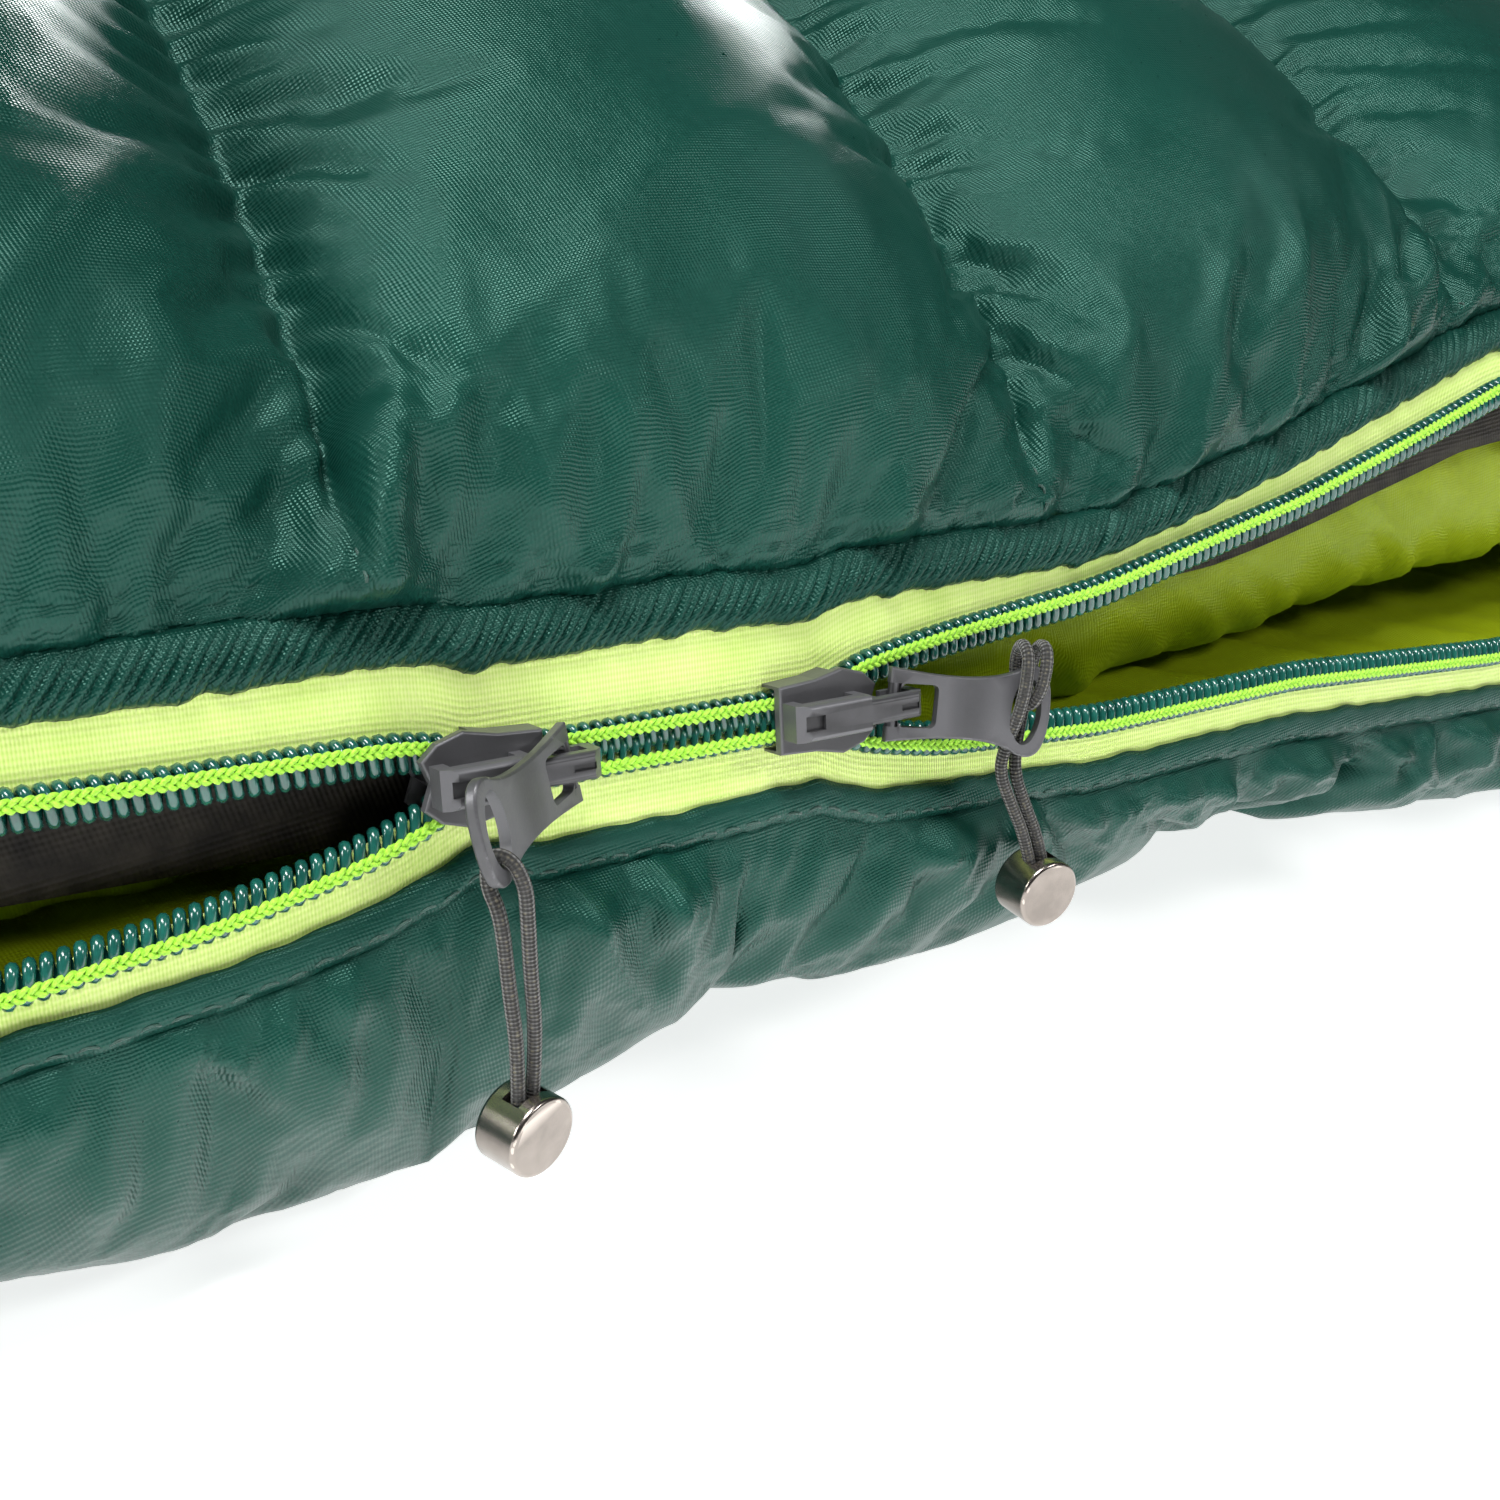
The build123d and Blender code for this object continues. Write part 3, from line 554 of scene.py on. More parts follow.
def chain_stitch(side, offset, name):
    runs = []
    for first, last, per_turn, sides in ((ZIP_FOOT, NEAR[0], 5, 3), (NEAR[0], NEAR[1], 10, 5),
                                         (NEAR[1], ZIP_HEAD, 5, 3)):
        s = np.linspace(first, last, int((last - first) / PITCH_COIL * per_turn) + 1)
        for strand in range(3):
            turn = 2 * pi * (s / (2 * PITCH_COIL) + strand / 3)
            across = 1.85 + 0.5 * np.sin(turn)
            out = 1.26 + 0.2 * np.sin(2 * turn)
            path = side_point(s, side * (offset(s) + across), out)
            runs.append(tube(name, path, 0.29 * MM, sides, STITCH))
    return join(name, runs)


for side, offset, word in ((1, off_up, "upper"), (-1, off_down, "lower")):
    on_bag(coil(side, offset, f"coil_{word}"), "coil_nylon", f"zip_coil_{word}")
    on_bag(chain_stitch(side, offset, f"chain_stitch_{word}"), "neon_tape")


# ---- tapes ----
TAPE_BACK = -1.35
zip_s = spaced(ZIP_FOOT, ZIP_HEAD, 0.7, 6)


def tape(side, offset, wide, name):
    def shape(u, v):
        return side_point(u, side * (offset(u) + v), TAPE_BACK + 0.04 * np.sin(u / 3.1) * (v - 2) / 10)

    return sheet(name, zip_s, np.linspace(0.9, wide, 12)[:: side], shape, TAPE, 0.0005)


on_bag(tape(1, off_up, 11.8, "tape_upper"), "neon_tape", "zip_tape_upper")
on_bag(tape(-1, off_down, 10.5, "tape_lower"), "neon_tape", "zip_tape_lower")


# ---- gathered strip above the upper tape, smooth edge strip below the lower one ----
def ripple(x, seed, pitch):
    """Irregular wave of about the given pitch, from -1 to 1."""
    rng = np.random.default_rng(seed)
    total = np.zeros_like(x)
    for scale in (0.62, 0.81, 1.0, 1.27, 1.7):
        total += np.sin(2 * pi * x / (pitch * scale) + rng.uniform(0, 2 * pi)) * rng.uniform(0.5, 1)
    return total / 2.4


GATHER_WIDE = 6.6
PLEAT = 1.3
pleat_s = spaced(ZIP_FOOT, ZIP_HEAD, 0.2, 3)


def pleats(x, seed, pitch):
    """Rounded folds with sharp valleys between them, from 0 to 1."""
    return np.abs(np.sin(ripple(x, seed, pitch * 9) * 1.6 + pi * x / pitch)) ** 0.8


def gather_shape(u, v):
    t = v / GATHER_WIDE
    slant = u - v * 0.55 - 1.5 * t ** 2
    rise = np.sin(pi * np.clip(t, 0, 1)) ** 0.6
    fold = pleats(slant, 3, PLEAT) * 0.95 + ripple(slant, 5, 4.1) * 0.3
    edge = 0.25 * ripple(u, 9, 6) * (1 - t) + 0.14 * pleats(u, 3, PLEAT) * (1 - t)
    out = -1.0 + 1.35 * rise + fold * (0.35 + 0.65 * rise) * np.clip(1.15 - 0.5 * t, 0, 1)
    return side_point(u, off_up(u) + edge_up(u) + v + edge, out)


on_bag(sheet("gathered_strip", pleat_s, np.linspace(0, GATHER_WIDE, 18), gather_shape, SHELL, CLOTH), "shell_nylon",
       "edge_strip_upper")

EDGE_WIDE = 5.0

# The side's bulge below the zip and the underside's lift off the ground, along the zip.
BULGE = [(-320, 0), (-160, 5), (-80, 5), (-45, 2.5), (-10, 0)]
LIFT = [(-60, 0), (0, 3), (25, 9), (45, 13), (80, 17), (140, 18), (260, 16), (420, 0)]


def bulge(s, q):
    return np.interp(s, *zip(*BULGE)) * np.exp(-((q - 52) / 22) ** 2)


def lift(s, q):
    return np.interp(s, *zip(*LIFT)) * np.clip((q - 20) / 40, 0, 1) * np.clip((300 - q) / 120, 0, 1)


def edge_shape(u, v):
    t = v / EDGE_WIDE
    q = off_down(u) + edge_down(u) + v
    out = -0.75 + 0.85 * np.sin(pi * np.clip(t, 0, 1)) ** 0.7 - 1.3 * t ** 6
    out += (0.18 * ripple(u + 2 * v, 12, 7) * t + 0.25 * pleats(u + 0.3 * v, 15, 2.1) * t ** 2) * (1 - t ** 4)
    return side_point(u, -(q + 0.2 * ripple(u, 19, 9)), out + bulge(u, q))


on_bag(sheet("edge_strip", zip_s, np.linspace(0, EDGE_WIDE, 9)[::-1], edge_shape, SHELL, CLOTH), "shell_nylon",
       "edge_strip_lower")


# ---- quilted shell ----
BAFFLE = 88.0             # width of one down chamber
SEAM_AT = -36.0           # one baffle seam meets the gathered strip here
PUFF_TOP = 7.0            # rise of a chamber over its seams, on the top
PUFF_BACK = 4.2           # and on the back
BACK_SHIFT = 44           # the back's seams lie halfway between the top's
CREASE = 2.4              # height of the tallest crease
SETTLE_SCALE = 10         # the cloth is settled at ten times its size
SETTLE_FRAMES = 24
SETTLE_STEP = BAFFLE / 36


def seam_phase(s):
    return (s - SEAM_AT) / BAFFLE


def puff(s, height):
    """Chamber crown between two baffle seams."""
    return height * (np.abs(np.sin(pi * seam_phase(s))) ** 0.62 - 0.75)


def creases(s, w, seed, start, count, span, reach, high):
    """Soft ridges that leave the line w = start and run up the cloth."""
    rng = np.random.default_rng(seed)
    total = np.zeros_like(s)
    for _ in range(count):
        s0 = rng.uniform(*span)
        lean = rng.normal(0.25, 0.45)
        curve = rng.normal(0, 0.004)
        long = rng.uniform(0.35, 1.0) * reach
        wide = rng.uniform(1.3, 4.2)
        up = w - start
        centre = s0 + lean * up + curve * up ** 2
        along = np.clip(up / long, 0, 1)
        body = np.exp(-((s - centre) / (wide * (1 + along))) ** 2)
        total += body * (1 - along) ** 1.2 * rng.uniform(0.35, 1) * high * (1 if rng.random() < 0.7 else -0.7)
    return total


def pucker(s, w, seed):
    """Short creases across each baffle seam where the stitching draws the cloth in."""
    phase = seam_phase(s)
    near = np.exp(-((phase - np.rint(phase)) * BAFFLE / 9.0) ** 2)
    wave = ripple(w + np.rint(phase) * 17 + np.abs(phase - np.rint(phase)) * 30, seed, 6.5)
    return near * wave * 0.9


def drape(s, w, seed):
    """Low wide undulation of the loosely filled cloth."""
    return 1.5 * ripple(s * 0.8 + w * 0.5, seed, 41) * ripple(w + s * 0.2, seed + 1, 57)


def settled(us, vs, base, held, pressure, slack):
    """How far slack cloth held at its seams moves when the down pushes it out: a lookup giving moves in metres."""
    bm = sheet_bm(us, vs, base)
    bmesh.ops.scale(bm, vec=(SETTLE_SCALE,) * 3, verts=bm.verts)
    piece = finish_mesh("settling_cloth", bm, SHELL)
    start = np.array([v.co for v in piece.data.vertices])
    number = np.arange(len(start))
    u, v = us[number % len(us)], vs[number // len(us)]
    group = piece.vertex_groups.new(name="held")
    group.add([int(k) for k in np.flatnonzero(held(u, v))], 1.0, "REPLACE")
    cloth = piece.modifiers.new("settle", "CLOTH")
    rules = cloth.settings
    rules.quality = 5
    rules.mass = 0.2
    rules.tension_stiffness = 20
    rules.compression_stiffness = 20
    rules.shear_stiffness = 6
    rules.bending_stiffness = 0.18
    rules.air_damping = 3
    rules.use_pressure = True
    rules.uniform_pressure_force = pressure
    rules.shrink_min = -slack
    rules.vertex_group_mass = "held"
    rules.effector_weights.gravity = 0
    cloth.collision_settings.use_collision = False
    cloth.point_cache.frame_start = 1
    cloth.point_cache.frame_end = SETTLE_FRAMES
    scene = bpy.context.scene
    for frame_number in range(1, SETTLE_FRAMES + 1):
        scene.frame_set(frame_number)
    shown = piece.evaluated_get(bpy.context.evaluated_depsgraph_get())
    moved = np.array([v.co for v in shown.data.vertices])
    scene.frame_set(1)
    bpy.data.objects.remove(piece)
    field = ((moved - start) / SETTLE_SCALE).reshape(len(vs), len(us), 3)

    def moves(u, v):
        x = np.interp(u, us, np.arange(len(us)))
        y = np.interp(v, vs, np.arange(len(vs)))
        i = np.minimum(x.astype(int), len(us) - 2)
        j = np.minimum(y.astype(int), len(vs) - 2)
        a, b = (x - i)[:, None], (y - j)[:, None]
        low = field[j, i] * (1 - a) + field[j, i + 1] * a
        high = field[j + 1, i] * (1 - a) + field[j + 1, i + 1] * a
        inside = (u > us[0]) & (u < us[-1]) & (v < vs[-1]) & (v > vs[0])
        return (low * (1 - b) + high * b) * inside[:, None]

    return moves


top_s = spaced(PANEL_FOOT, PANEL_HEAD, 1.1, 9)
top_q = np.concatenate([np.linspace(0, 130, 119), 130 + np.cumsum(np.minimum(1.1 * 1.06 ** np.arange(200), 11))])
top_q = top_q[top_q < 980]


def top_at(u, v, out):
    """Point on the top: v from the gathered strip's upper edge, over to the far side."""
    base = off_up(u) + edge_up(u) + GATHER_WIDE - 0.4
    flat = -2 * side_point(u, SIDE_TOP, 0)[:, 1] / MM
    end = SIDE_TOP + flat + SIDE_TOP + 12
    q = np.where(v < 130, base + v, base + 130 + (v - 130) * (end - base - 130) / (top_q[-1] - 130))
    far = 1 - np.exp(-np.maximum(end - q, 0) / 25)
    return round_section(u, q, out * far - 0.3)


def top_loft(u, v):
    """The top before its cloth settles: only the chambers' rise between seams."""
    return top_at(u, v, puff(u, PUFF_TOP) * (1 - np.exp(-v / 16)))


def at_seam(u, shift):
    phase = seam_phase(u + shift)
    return np.abs(phase - np.rint(phase)) * BAFFLE < 0.4 * SETTLE_STEP


top_u = SEAM_AT + SETTLE_STEP * np.arange(-90, 181)
top_v = np.arange(0, 216, SETTLE_STEP)
top_moves = settled(top_u, top_v, top_loft, lambda u, v: at_seam(u, 0) | (v < 1) | (v > top_v[-1] - 1)
                    | (u < top_u[0] + 1) | (u > top_u[-1] - 1), 2.2, 0.09)


def top_shape(u, v):
    rise = 1 - np.exp(-v / 16)
    near = np.exp(-np.maximum(v - 70, 0) / 60)
    out = puff(u, PUFF_TOP) * rise
    out += creases(u, v, 21, 0, 170, (-200, 330), 62, CREASE) * near * np.clip(v / 3 + 0.25, 0, 1)
    out += (pucker(u, v, 8) + drape(u, v, 4)) * rise
    out -= 0.75 * np.exp(-v / 2.2)
    out += 0.9 * pleats(u - v * 0.55, 3, PLEAT) * np.exp(-((v - 3) / 3.5) ** 2)
    out += 0.35 * ripple(u - v * 0.4, 13, 3.4) * np.exp(-v / 12)
    return top_at(u, v, out) + top_moves(u, v) * (1 - np.exp(-v / 4))[:, None]


on_bag(sheet("top_shell_cloth", top_s, top_q, top_shape, SHELL, CLOTH), "shell_nylon", "top_shell",
       "top_down_fill", "top_baffle_walls")

back_v = np.concatenate([np.linspace(-1, 100, 92), 100 + np.cumsum(np.minimum(1.1 * 1.08 ** np.arange(200), 14))])
back_v = back_v[back_v < 900]


def back_at(u, v, out):
    """Point on the back: v from the edge strip's lower edge, round the side, under and up the far side."""
    base = off_down(u) + edge_down(u) + EDGE_WIDE - 0.3
    flat = -2 * side_point(u, SIDE_FOOT, 0)[:, 1] / MM
    end = flat - 2 * SIDE_FOOT - 12
    q = np.where(v < 100, base + v, base + 100 + (v - 100) * (end - base - 100) / (back_v[-1] - 100))
    out = out + bulge(u, q) - 0.2
    point = side_point(u, -np.minimum(q, -SIDE_FOOT), out)
    over = (q > -SIDE_FOOT) & (q < flat - SIDE_FOOT)
    point[over, 1] += (q[over] + SIDE_FOOT) * MM
    far_w = 2 * SIDE_FOOT + q - flat
    mirror = side_point(u, np.minimum(far_w, -12), out) * FAR_SIDE
    beyond = q >= flat - SIDE_FOOT
    point[beyond] = mirror[beyond]
    point[:, 2] = np.maximum(point[:, 2], GROUND) + lift(u, q) * MM
    return point


def back_loft(u, v):
    return back_at(u, v, puff(u + BACK_SHIFT, PUFF_BACK) * (1 - np.exp(-v / 9)) * np.exp(-np.maximum(v - 40, 0) / 40))


back_u = SEAM_AT - BACK_SHIFT + SETTLE_STEP * np.arange(-90, 181)
back_w = np.arange(0, 100, SETTLE_STEP)
back_moves = settled(back_u, back_w, back_loft, lambda u, v: at_seam(u, BACK_SHIFT) | (v < 1) | (v > back_w[-1] - 1)
                     | (u < back_u[0] + 1) | (u > back_u[-1] - 1), -1.3, 0.11)


def back_shape(u, v):
    rise = 1 - np.exp(-v / 9)
    out = puff(u + BACK_SHIFT, PUFF_BACK) * rise * np.exp(-np.maximum(v - 40, 0) / 40)
    free = np.clip((v + 1) / 5, 0, 1)
    out += creases(u, v, 33, 0, 190, (-200, 330), 40, 1.25 * CREASE) * np.exp(-v / 45) * free
    out += creases(u, v - 12, 37, 0, 110, (-200, 330), 30, 0.9 * CREASE) * np.clip(v / 12, 0, 1) * np.exp(-v / 60)
    out -= 0.8 * np.exp(-(v + 1) / 2.4)
    out += 0.6 * pleats(u + 0.3 * v, 15, 2.1) * np.exp(-((v - 3) / 3) ** 2) * free
    out += 0.5 * ripple(u + v * 0.3, 14, 5.4) * np.exp(-v / 14) * free
    out += drape(u, v, 24) * 0.8 * rise
    point = back_at(u, v, out) + back_moves(u, v) * (1 - np.exp(-np.maximum(v, 0) / 5))[:, None]
    point[:, 2] = np.maximum(point[:, 2], GROUND)
    return point


on_bag(sheet("back_shell_cloth", top_s, back_v[::-1], back_shape, SHELL, CLOTH), "shell_nylon", "back_shell",
       "back_down_fill", "back_baffle_walls")


# ---- stitching ----
def stitches(name, shape, lines, long, gap, radius):
    """Short thread runs along lines of (u, v) stations on a cloth, raised a little above it."""
    made = []
    for line in lines:
        u, v = (np.asarray(a, float) for a in line)
        points = shape(u, v)
        run = np.concatenate([[0], np.cumsum(np.linalg.norm(np.diff(points, axis=0), axis=1))]) / MM
        for start in np.arange(0.5, run[-1] - long, long + gap):
            at = np.linspace(start, start + long, 5)
            path = np.stack([np.interp(at, run, points[:, k]) for k in range(3)], 1)
            arch = np.array([0.05, 0.28, 0.34, 0.28, 0.05])
            made.append(tube(name, path + NORMAL * 0.7 * arch[:, None] * MM + UP * 0.7 * arch[:, None] * MM,
                             radius * MM, 5, SEAM_THREAD))
    return on_bag(join(name, made), "shell_nylon")


seam_lines = [(np.full(400, SEAM_AT + BAFFLE * k), np.linspace(1, 190, 400)) for k in (-1, 0, 1, 2)]
stitches("baffle_seam_stitches", top_shape, seam_lines, 1.9, 0.9, 0.17)
run_s = np.arange(-150, 260, 0.5)
stitches("edge_strip_stitches", edge_shape, [(run_s, np.full(len(run_s), EDGE_WIDE - 1.7))], 2.0, 0.9, 0.16)


# ---- foot box and hood: the same section drawn in to a rounded end ----
def ring_point(s, r, out):
    """Whole section as one loop, r from 0 to 1, from the middle underneath round the zip side and over."""
    half = -side_point(s, SIDE_TOP, 0)[:, 1] / MM
    round_side = SIDE_TOP - SIDE_FOOT
    loop = 2 * (2 * half + round_side)
    q = r * loop
    point = side_point(s, np.clip(q - half + SIDE_FOOT, SIDE_FOOT, SIDE_TOP), out)
    far = side_point(s, np.clip(loop - q - half + SIDE_FOOT, SIDE_FOOT, SIDE_TOP), out) * FAR_SIDE
    first = q < half
    point[first, 1] *= q[first] / half[first]
    over = (q >= half + round_side) & (q < loop - half - round_side)
    point[over, 1] += (q[over] - half[over] - round_side) * MM
    back = q >= loop - half - round_side
    point[back] = far[back]
    last = q >= loop - half
    point[last, 1] *= (loop[last] - q[last]) / half[last]
    return point


SEAM_Z = 0.048            # height of the seam between top and back, in metres
foot_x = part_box("foot_box_shell")[0].x
head_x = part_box("hood_shell")[1].x


def foot_shape(u, v):
    t = u / 100
    s = np.full_like(u, PANEL_FOOT)
    out = 5.0 * (np.abs(np.sin(pi * t * 3)) ** 0.62 - 0.6) * np.minimum(t * 8, 1) * (1 - t ** 4)
    out += drape(u * 2.6, v * 1500, 61) * np.minimum(t * 6, 1)
    p = ring_point(s, v, out)
    shrink = (1 - t ** 2.4) ** (1 / 2.4)
    wide = 0.36 + 0.64 * shrink
    tall = 0.02 + 0.98 * (1 - t ** 2.8) ** (1 / 2.8)
    x = p[:, 0] * (1 - t) + foot_x * t
    return np.stack([x, p[:, 1] * wide, SEAM_Z + (p[:, 2] - SEAM_Z) * tall], 1)


def hood_wide(t):
    neck = 1 - 0.46 * np.clip(t / 0.8, 0, 1) ** 1.35
    end = (1 - np.clip((t - 0.45) / 0.55, 0, 1) ** 2.3) ** (1 / 2.3)
    return neck * (0.22 + 0.78 * end)


def hood_shape(u, v):
    t = u / 100
    s = np.full_like(u, PANEL_HEAD)
    out = 5.0 * (np.abs(np.sin(pi * t * 5)) ** 0.62 - 0.6) * np.minimum(t * 9, 1) * (1 - t ** 5)
    out += drape(u * 5, v * 2000, 71) * np.minimum(t * 6, 1)
    p = ring_point(s, v, out)
    tall = 0.04 + 0.96 * (1 - t ** 3.2) ** (1 / 3.2)
    x = p[:, 0] * (1 - t) + head_x * t
    return np.stack([x, p[:, 1] * hood_wide(t), SEAM_Z + (p[:, 2] - SEAM_Z) * tall], 1)


hem_low, hem_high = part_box("hood_hem")
FACE_MID = (np.array(hem_low) + np.array(hem_high))[:2] / 2
FACE_HALF = (np.array(hem_high) - np.array(hem_low))[:2] / 2 - 0.006


def in_face(point):
    d = (point[:, :2] - FACE_MID) / FACE_HALF
    return (np.hypot(d[:, 0], d[:, 1]) < 1) & (point[:, 2] > 0.07)


end_t = np.concatenate([np.linspace(0, 70, 40), 70 + 30 * np.sin(np.linspace(0, pi / 2, 30))[1:]])
ring_r = np.linspace(0, 1, 241)
on_bag(sheet("foot_box_cloth", end_t, ring_r, foot_shape, SHELL, CLOTH, closed_v=True), "shell_nylon",
       "foot_box_shell", "foot_box_fill")
on_bag(sheet("hood_cloth", np.linspace(0, 100, 151) ** 0.5 * 10, np.linspace(0, 1, 421), hood_shape, SHELL, CLOTH,
             closed_v=True, hole=lambda u, v: in_face(hood_shape(u, v))), "shell_nylon", "hood_shell", "hood_fill")


def face_rim(turn, grow):
    """A point on the face opening's rim, lying on the hood's top."""
    x = FACE_MID[0] + (FACE_HALF[0] + grow) * np.cos(turn)
    y = FACE_MID[1] + (FACE_HALF[1] + grow) * np.sin(turn)
    t = (x - 0.505) / (head_x - 0.505)
    half = 0.405 * hood_wide(t)
    tall = 0.04 + 0.96 * (1 - t ** 3.2) ** (1 / 3.2)
    dome = (1 - np.clip(np.abs(y) / half, 0, 1) ** 2.6) ** (1 / 2.6)
    return np.stack([x, y, SEAM_Z + 0.118 * tall * dome], 1)


rim_turn = np.linspace(0, 2 * pi, 181)
rim_line = face_rim(rim_turn, 0.0)
on_bag(tube("hood_hem_channel", rim_line, 0.0075 + 0.0006 * np.sin(rim_turn * 40), 12, SHELL, 0.8), "shell_nylon",
       "hood_hem")

# ---- linings ----
TOP_INNER, BACK_INNER = 0.116, 0.043     # heights of the linings' flats, in metres


def top_lining_shape(u, v):
    t = v / 100
    edge = off_up(u) + 9
    start = side_point(u, edge, -3.4)
    deep = side_point(u, np.full_like(u, SIDE_TOP), -52)
    mid1 = side_point(u, edge + 16, -16 - 5 * np.sin(pi * seam_phase(u)) ** 2)
    mid2 = side_point(u, np.full_like(u, 110), -50)
    a, b, c, d = (1 - t) ** 3, 3 * t * (1 - t) ** 2, 3 * t ** 2 * (1 - t), t ** 3
    point = start * a[:, None] + mid1 * b[:, None] + mid2 * c[:, None] + deep * d[:, None]
    point[:, 2] += 0.0012 * ripple(u + v, 77, 17) * np.minimum(t * 12, 1)
    return point


def back_lining_shape(u, v):
    t = v / 100
    edge = -(off_down(u) + 9)
    start = side_point(u, edge, -2.6)
    deep = side_point(u, np.full_like(u, SIDE_TOP), 0)
    deep[:, 2] = BACK_INNER
    mid1 = side_point(u, edge, -16)
    mid1[:, 2] += 0.004
    mid2 = mid1 * 0.6 + deep * 0.4
    mid2[:, 2] = 0.047
    a, b, c, d = (1 - t) ** 3, 3 * t * (1 - t) ** 2, 3 * t ** 2 * (1 - t), t ** 3
    point = start * a[:, None] + mid1 * b[:, None] + mid2 * c[:, None] + deep * d[:, None]
    point[:, 2] += 0.0012 * ripple(u * 0.7 + v, 87, 19) * np.minimum(t * 12, 1)
    return point


lining_s = spaced(PANEL_FOOT, PANEL_HEAD, 2.2, 14)
lining_v = 100 * np.linspace(0, 1, 40) ** 1.6


def far_lining(u, v):
    """Inner cloth of the side with no zip, from the top's edge round to the back's."""
    turn = v / 100 * pi
    root = side_point(u, SIDE_TOP, 0)
    reach = -root[:, 1] + 0.125 * np.sin(turn) ** 0.7
    z = (TOP_INNER + BACK_INNER) / 2 + (TOP_INNER - BACK_INNER) / 2 * np.cos(turn)
    return np.stack([root[:, 0], reach, z], 1)


def span(high):
    """Flat of a lining across the bag, at a height in metres."""
    def shape(u, v):
        root = side_point(u, SIDE_TOP, 0)
        return np.stack([root[:, 0], root[:, 1] * (1 - 2 * v), np.full_like(v, high)], 1)

    return shape


top_parts = [sheet("lining", lining_s, lining_v, top_lining_shape, LINING),
             sheet("lining", lining_s, np.linspace(0, 1, 8), span(TOP_INNER), LINING)]
back_parts = [sheet("lining", lining_s, lining_v, back_lining_shape, LINING),
              sheet("lining", lining_s, np.linspace(0, 1, 8), span(BACK_INNER), LINING),
              sheet("lining", lining_s, np.linspace(0, 100, 13), far_lining, LINING)]
on_bag(join("top_lining_cloth", top_parts), "lining_nylon", "top_lining")
on_bag(join("back_lining_cloth", back_parts), "lining_nylon", "back_lining")


# Share of the anti-snag band's full width that hangs below the tape, along the zip.
SNAG_REACH = [(-700, 0.8), (-200, 1), (0, 1), (20, 0.55), (60, 0.62), (90, 0.8), (150, 0.95), (500, 0.9)]


def snag_shape(u, v):
    reach = np.interp(u, *zip(*SNAG_REACH))
    down = (14 - v) * reach
    back = -4.2 - 0.10 * down + 0.25 * ripple(u, 90, 37) * down / 20
    return side_point(u, off_up(u) + 14 - down, back)


on_bag(sheet("anti_snag_band", zip_s, np.linspace(-9, 14, 12), snag_shape, SNAG, 0.0006), "snag_fabric",
       "anti_snag_strip")


def draft_shape(u, v):
    turn = 2 * pi * v
    swell = 1 + 0.06 * ripple(u, 41, 23)
    w = 3 + off_up(u) * 0.45 + 17 * np.cos(turn) * swell
    n = -24 + 11 * np.sin(turn) * swell + 0.8 * ripple(u + 20 * np.cos(turn), 43, 9)
    return side_point(u, w, n)


tube_s = spaced(-640, 390, 1.6, 10)
on_bag(sheet("draft_tube_cloth", tube_s, np.linspace(0, 1, 41), draft_shape, LINING, closed_v=True),
       "lining_nylon", "draft_tube_cover", "draft_tube_fill")


collar_low, collar_high = (np.array(c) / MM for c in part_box("draft_collar_cover"))
COLLAR_MID = (collar_low + collar_high) / 2
COLLAR_HALF = (collar_high - collar_low) / 2


def collar_shape(u, v):
    """Padded collar hanging from the top lining across the neck."""
    turn = 2 * pi * v
    swell = 1 + 0.08 * ripple(u, 51, 60)
    x = COLLAR_MID[0] + COLLAR_HALF[0] * np.cos(turn) * swell
    z = COLLAR_MID[2] + COLLAR_HALF[2] * np.sin(turn) * swell
    end = np.clip((COLLAR_HALF[1] - np.abs(u)) / 12, 0, 1) ** 0.5
    x = COLLAR_MID[0] + (x - COLLAR_MID[0]) * end
    z = COLLAR_MID[2] + (z - COLLAR_MID[2]) * end
    return np.stack([x, u + 0.4 * ripple(u + 9 * v, 53, 11), z], 1) * MM


on_bag(sheet("draft_collar_cloth", np.linspace(-COLLAR_HALF[1], COLLAR_HALF[1], 181), np.linspace(0, 1, 33),
             collar_shape, LINING, closed_v=True), "lining_nylon", "draft_collar_cover", "draft_collar_fill")


def foot_lining(u, v):
    p = foot_shape(u * 0.86, v)
    return np.stack([p[:, 0], p[:, 1] * 0.93, 0.079 + (p[:, 2] - 0.079) * 0.42], 1)


def hood_lining(u, v):
    p = hood_shape(u * 0.93, v)
    return np.stack([p[:, 0], p[:, 1] * 0.9, 0.083 + (p[:, 2] - 0.083) * 0.45], 1)


def lining_hole(u, v):
    p = hood_lining(u, v)
    d = (p[:, :2] - FACE_MID) / (FACE_HALF * 0.98)
    return (np.hypot(d[:, 0], d[:, 1]) < 1) & (p[:, 2] > 0.075)


on_bag(sheet("foot_box_lining_cloth", end_t, ring_r, foot_lining, LINING, closed_v=True), "lining_nylon",
       "foot_box_lining")
on_bag(sheet("hood_lining_cloth", np.linspace(0, 100, 101), np.linspace(0, 1, 241), hood_lining, LINING,
             closed_v=True, hole=lining_hole), "lining_nylon", "hood_lining")


def rim_wall(u, v):
    """Cloth between the hem and the lining round the face opening."""
    top_edge = face_rim(u, -0.001)
    low = top_edge.copy()
    low[:, 2] = 0.083 + (low[:, 2] - 0.083) * 0.45
    return top_edge * (1 - v)[:, None] + low * v[:, None]


on_bag(sheet("face_opening_wall", np.linspace(0, 2 * pi, 121), np.linspace(0, 1, 8), rim_wall, LINING,
             closed_u=True), "lining_nylon")

# ---- CAD pieces that keep their shape ----
nodes = frame["nodes"]


def dress(node, material):
    mesh = nodes[node].data
    mesh.materials.clear()
    mesh.materials.append(material)


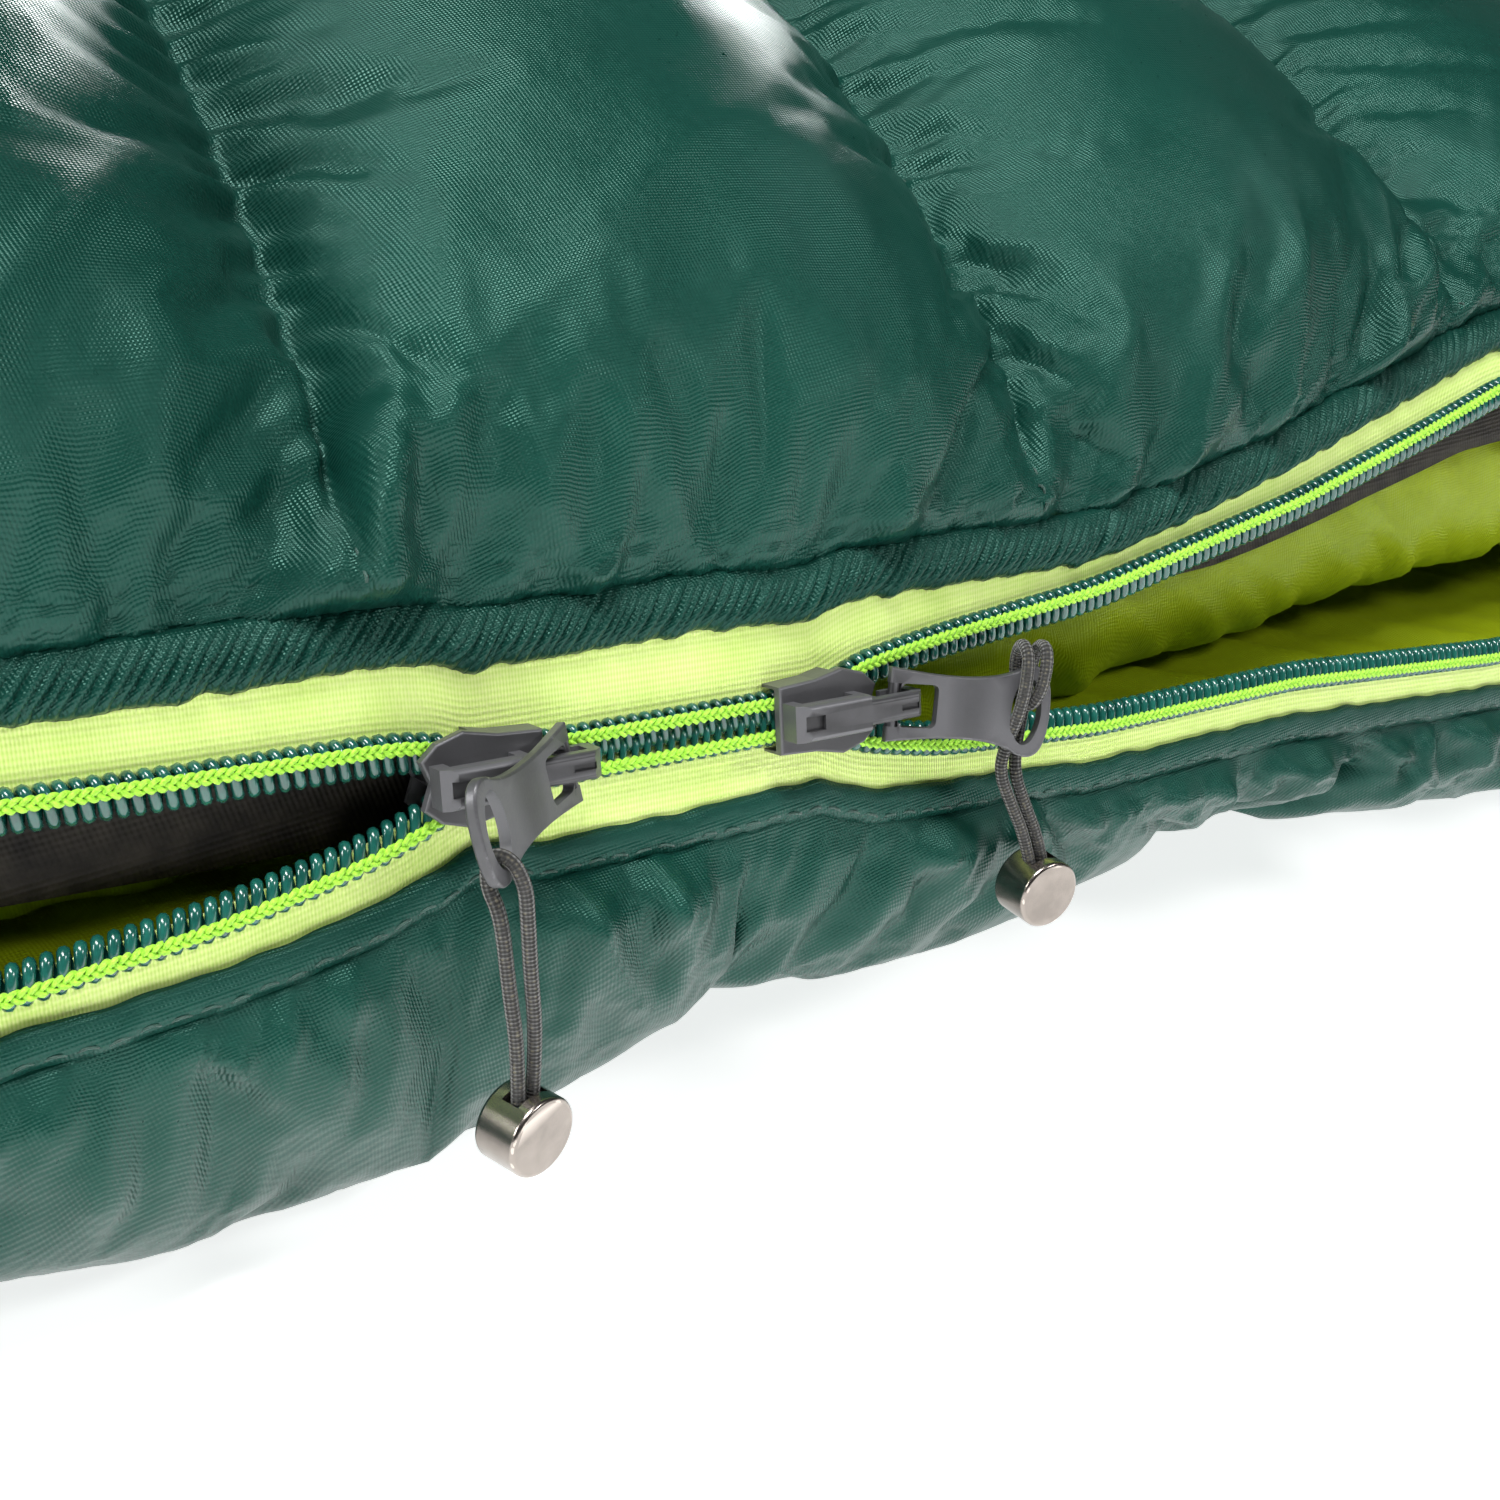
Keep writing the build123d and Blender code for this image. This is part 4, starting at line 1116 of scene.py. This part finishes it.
for word in ("upper", "lower"):
    for part in ("slider_body", "slider_crown", "pull_tab"):
        dress(f"{word}_{part}", METAL)
    dress(f"{word}_slider_lock_spring", SPRING)
    dress(f"{word}_cord_bead", BEAD)
for node in ("zip_top_stops", "zip_bottom_stop", "hood_eyelets"):
    dress(node, METAL)
dress("hang_loops", WEBBING)
pull_cord("upper", UPPER_ROUTE, "upper_tab")
pull_cord("lower", LOWER_ROUTE, "lower_tab")

# ---- floor and light ----
floor_bm = bmesh.new()
bmesh.ops.create_grid(floor_bm, x_segments=1, y_segments=1, size=9)
paper = Finish("floor_paper")
speck = paper.noise(paper.place(), 3)
paper.set(Base_Color=paper.ramp(speck, (0.3, (0.90, 0.90, 0.90)), (0.7, (0.93, 0.93, 0.93))), Roughness=0.9,
          Emission_Color=(1, 1, 1, 1), Emission_Strength=0.8)
floor = finish_mesh("floor", floor_bm, paper.material, smooth=False)

scene = bpy.context.scene
scene.view_settings.view_transform = "Standard"
world = bpy.data.worlds.new("studio")
scene.world = world
world.use_nodes = True
background = world.node_tree.nodes["Background"]
background.inputs[0].default_value = (1, 1, 1, 1)
background.inputs[1].default_value = 0.06


def softbox(name, place, aim, size, power, tint=(1, 1, 1)):
    lamp = bpy.data.lights.new(name, "AREA")
    lamp.shape = "RECTANGLE"
    lamp.size, lamp.size_y = size
    lamp.energy = power
    lamp.color = tint
    holder = bpy.data.objects.new(name, lamp)
    holder.location = place
    holder.rotation_mode = "QUATERNION"
    holder.rotation_quaternion = (Vector(aim) - Vector(place)).to_track_quat("-Z", "Y")
    bpy.context.scene.collection.objects.link(holder)


softbox("overhead", (-0.3, -0.5, 1.2), (0.05, -0.35, 0.1), (0.8, 0.35), 21)
softbox("rear", (0.75, 0.75, 0.62), (0.05, -0.3, 0.1), (1.0, 0.4), 34)
softbox("left", (-1.0, -0.15, 0.5), (0, -0.35, 0.08), (0.3, 0.3), 9)
softbox("front", (0.7, -1.4, 1.0), (0, -0.35, 0.05), (0.4, 0.25), 8)
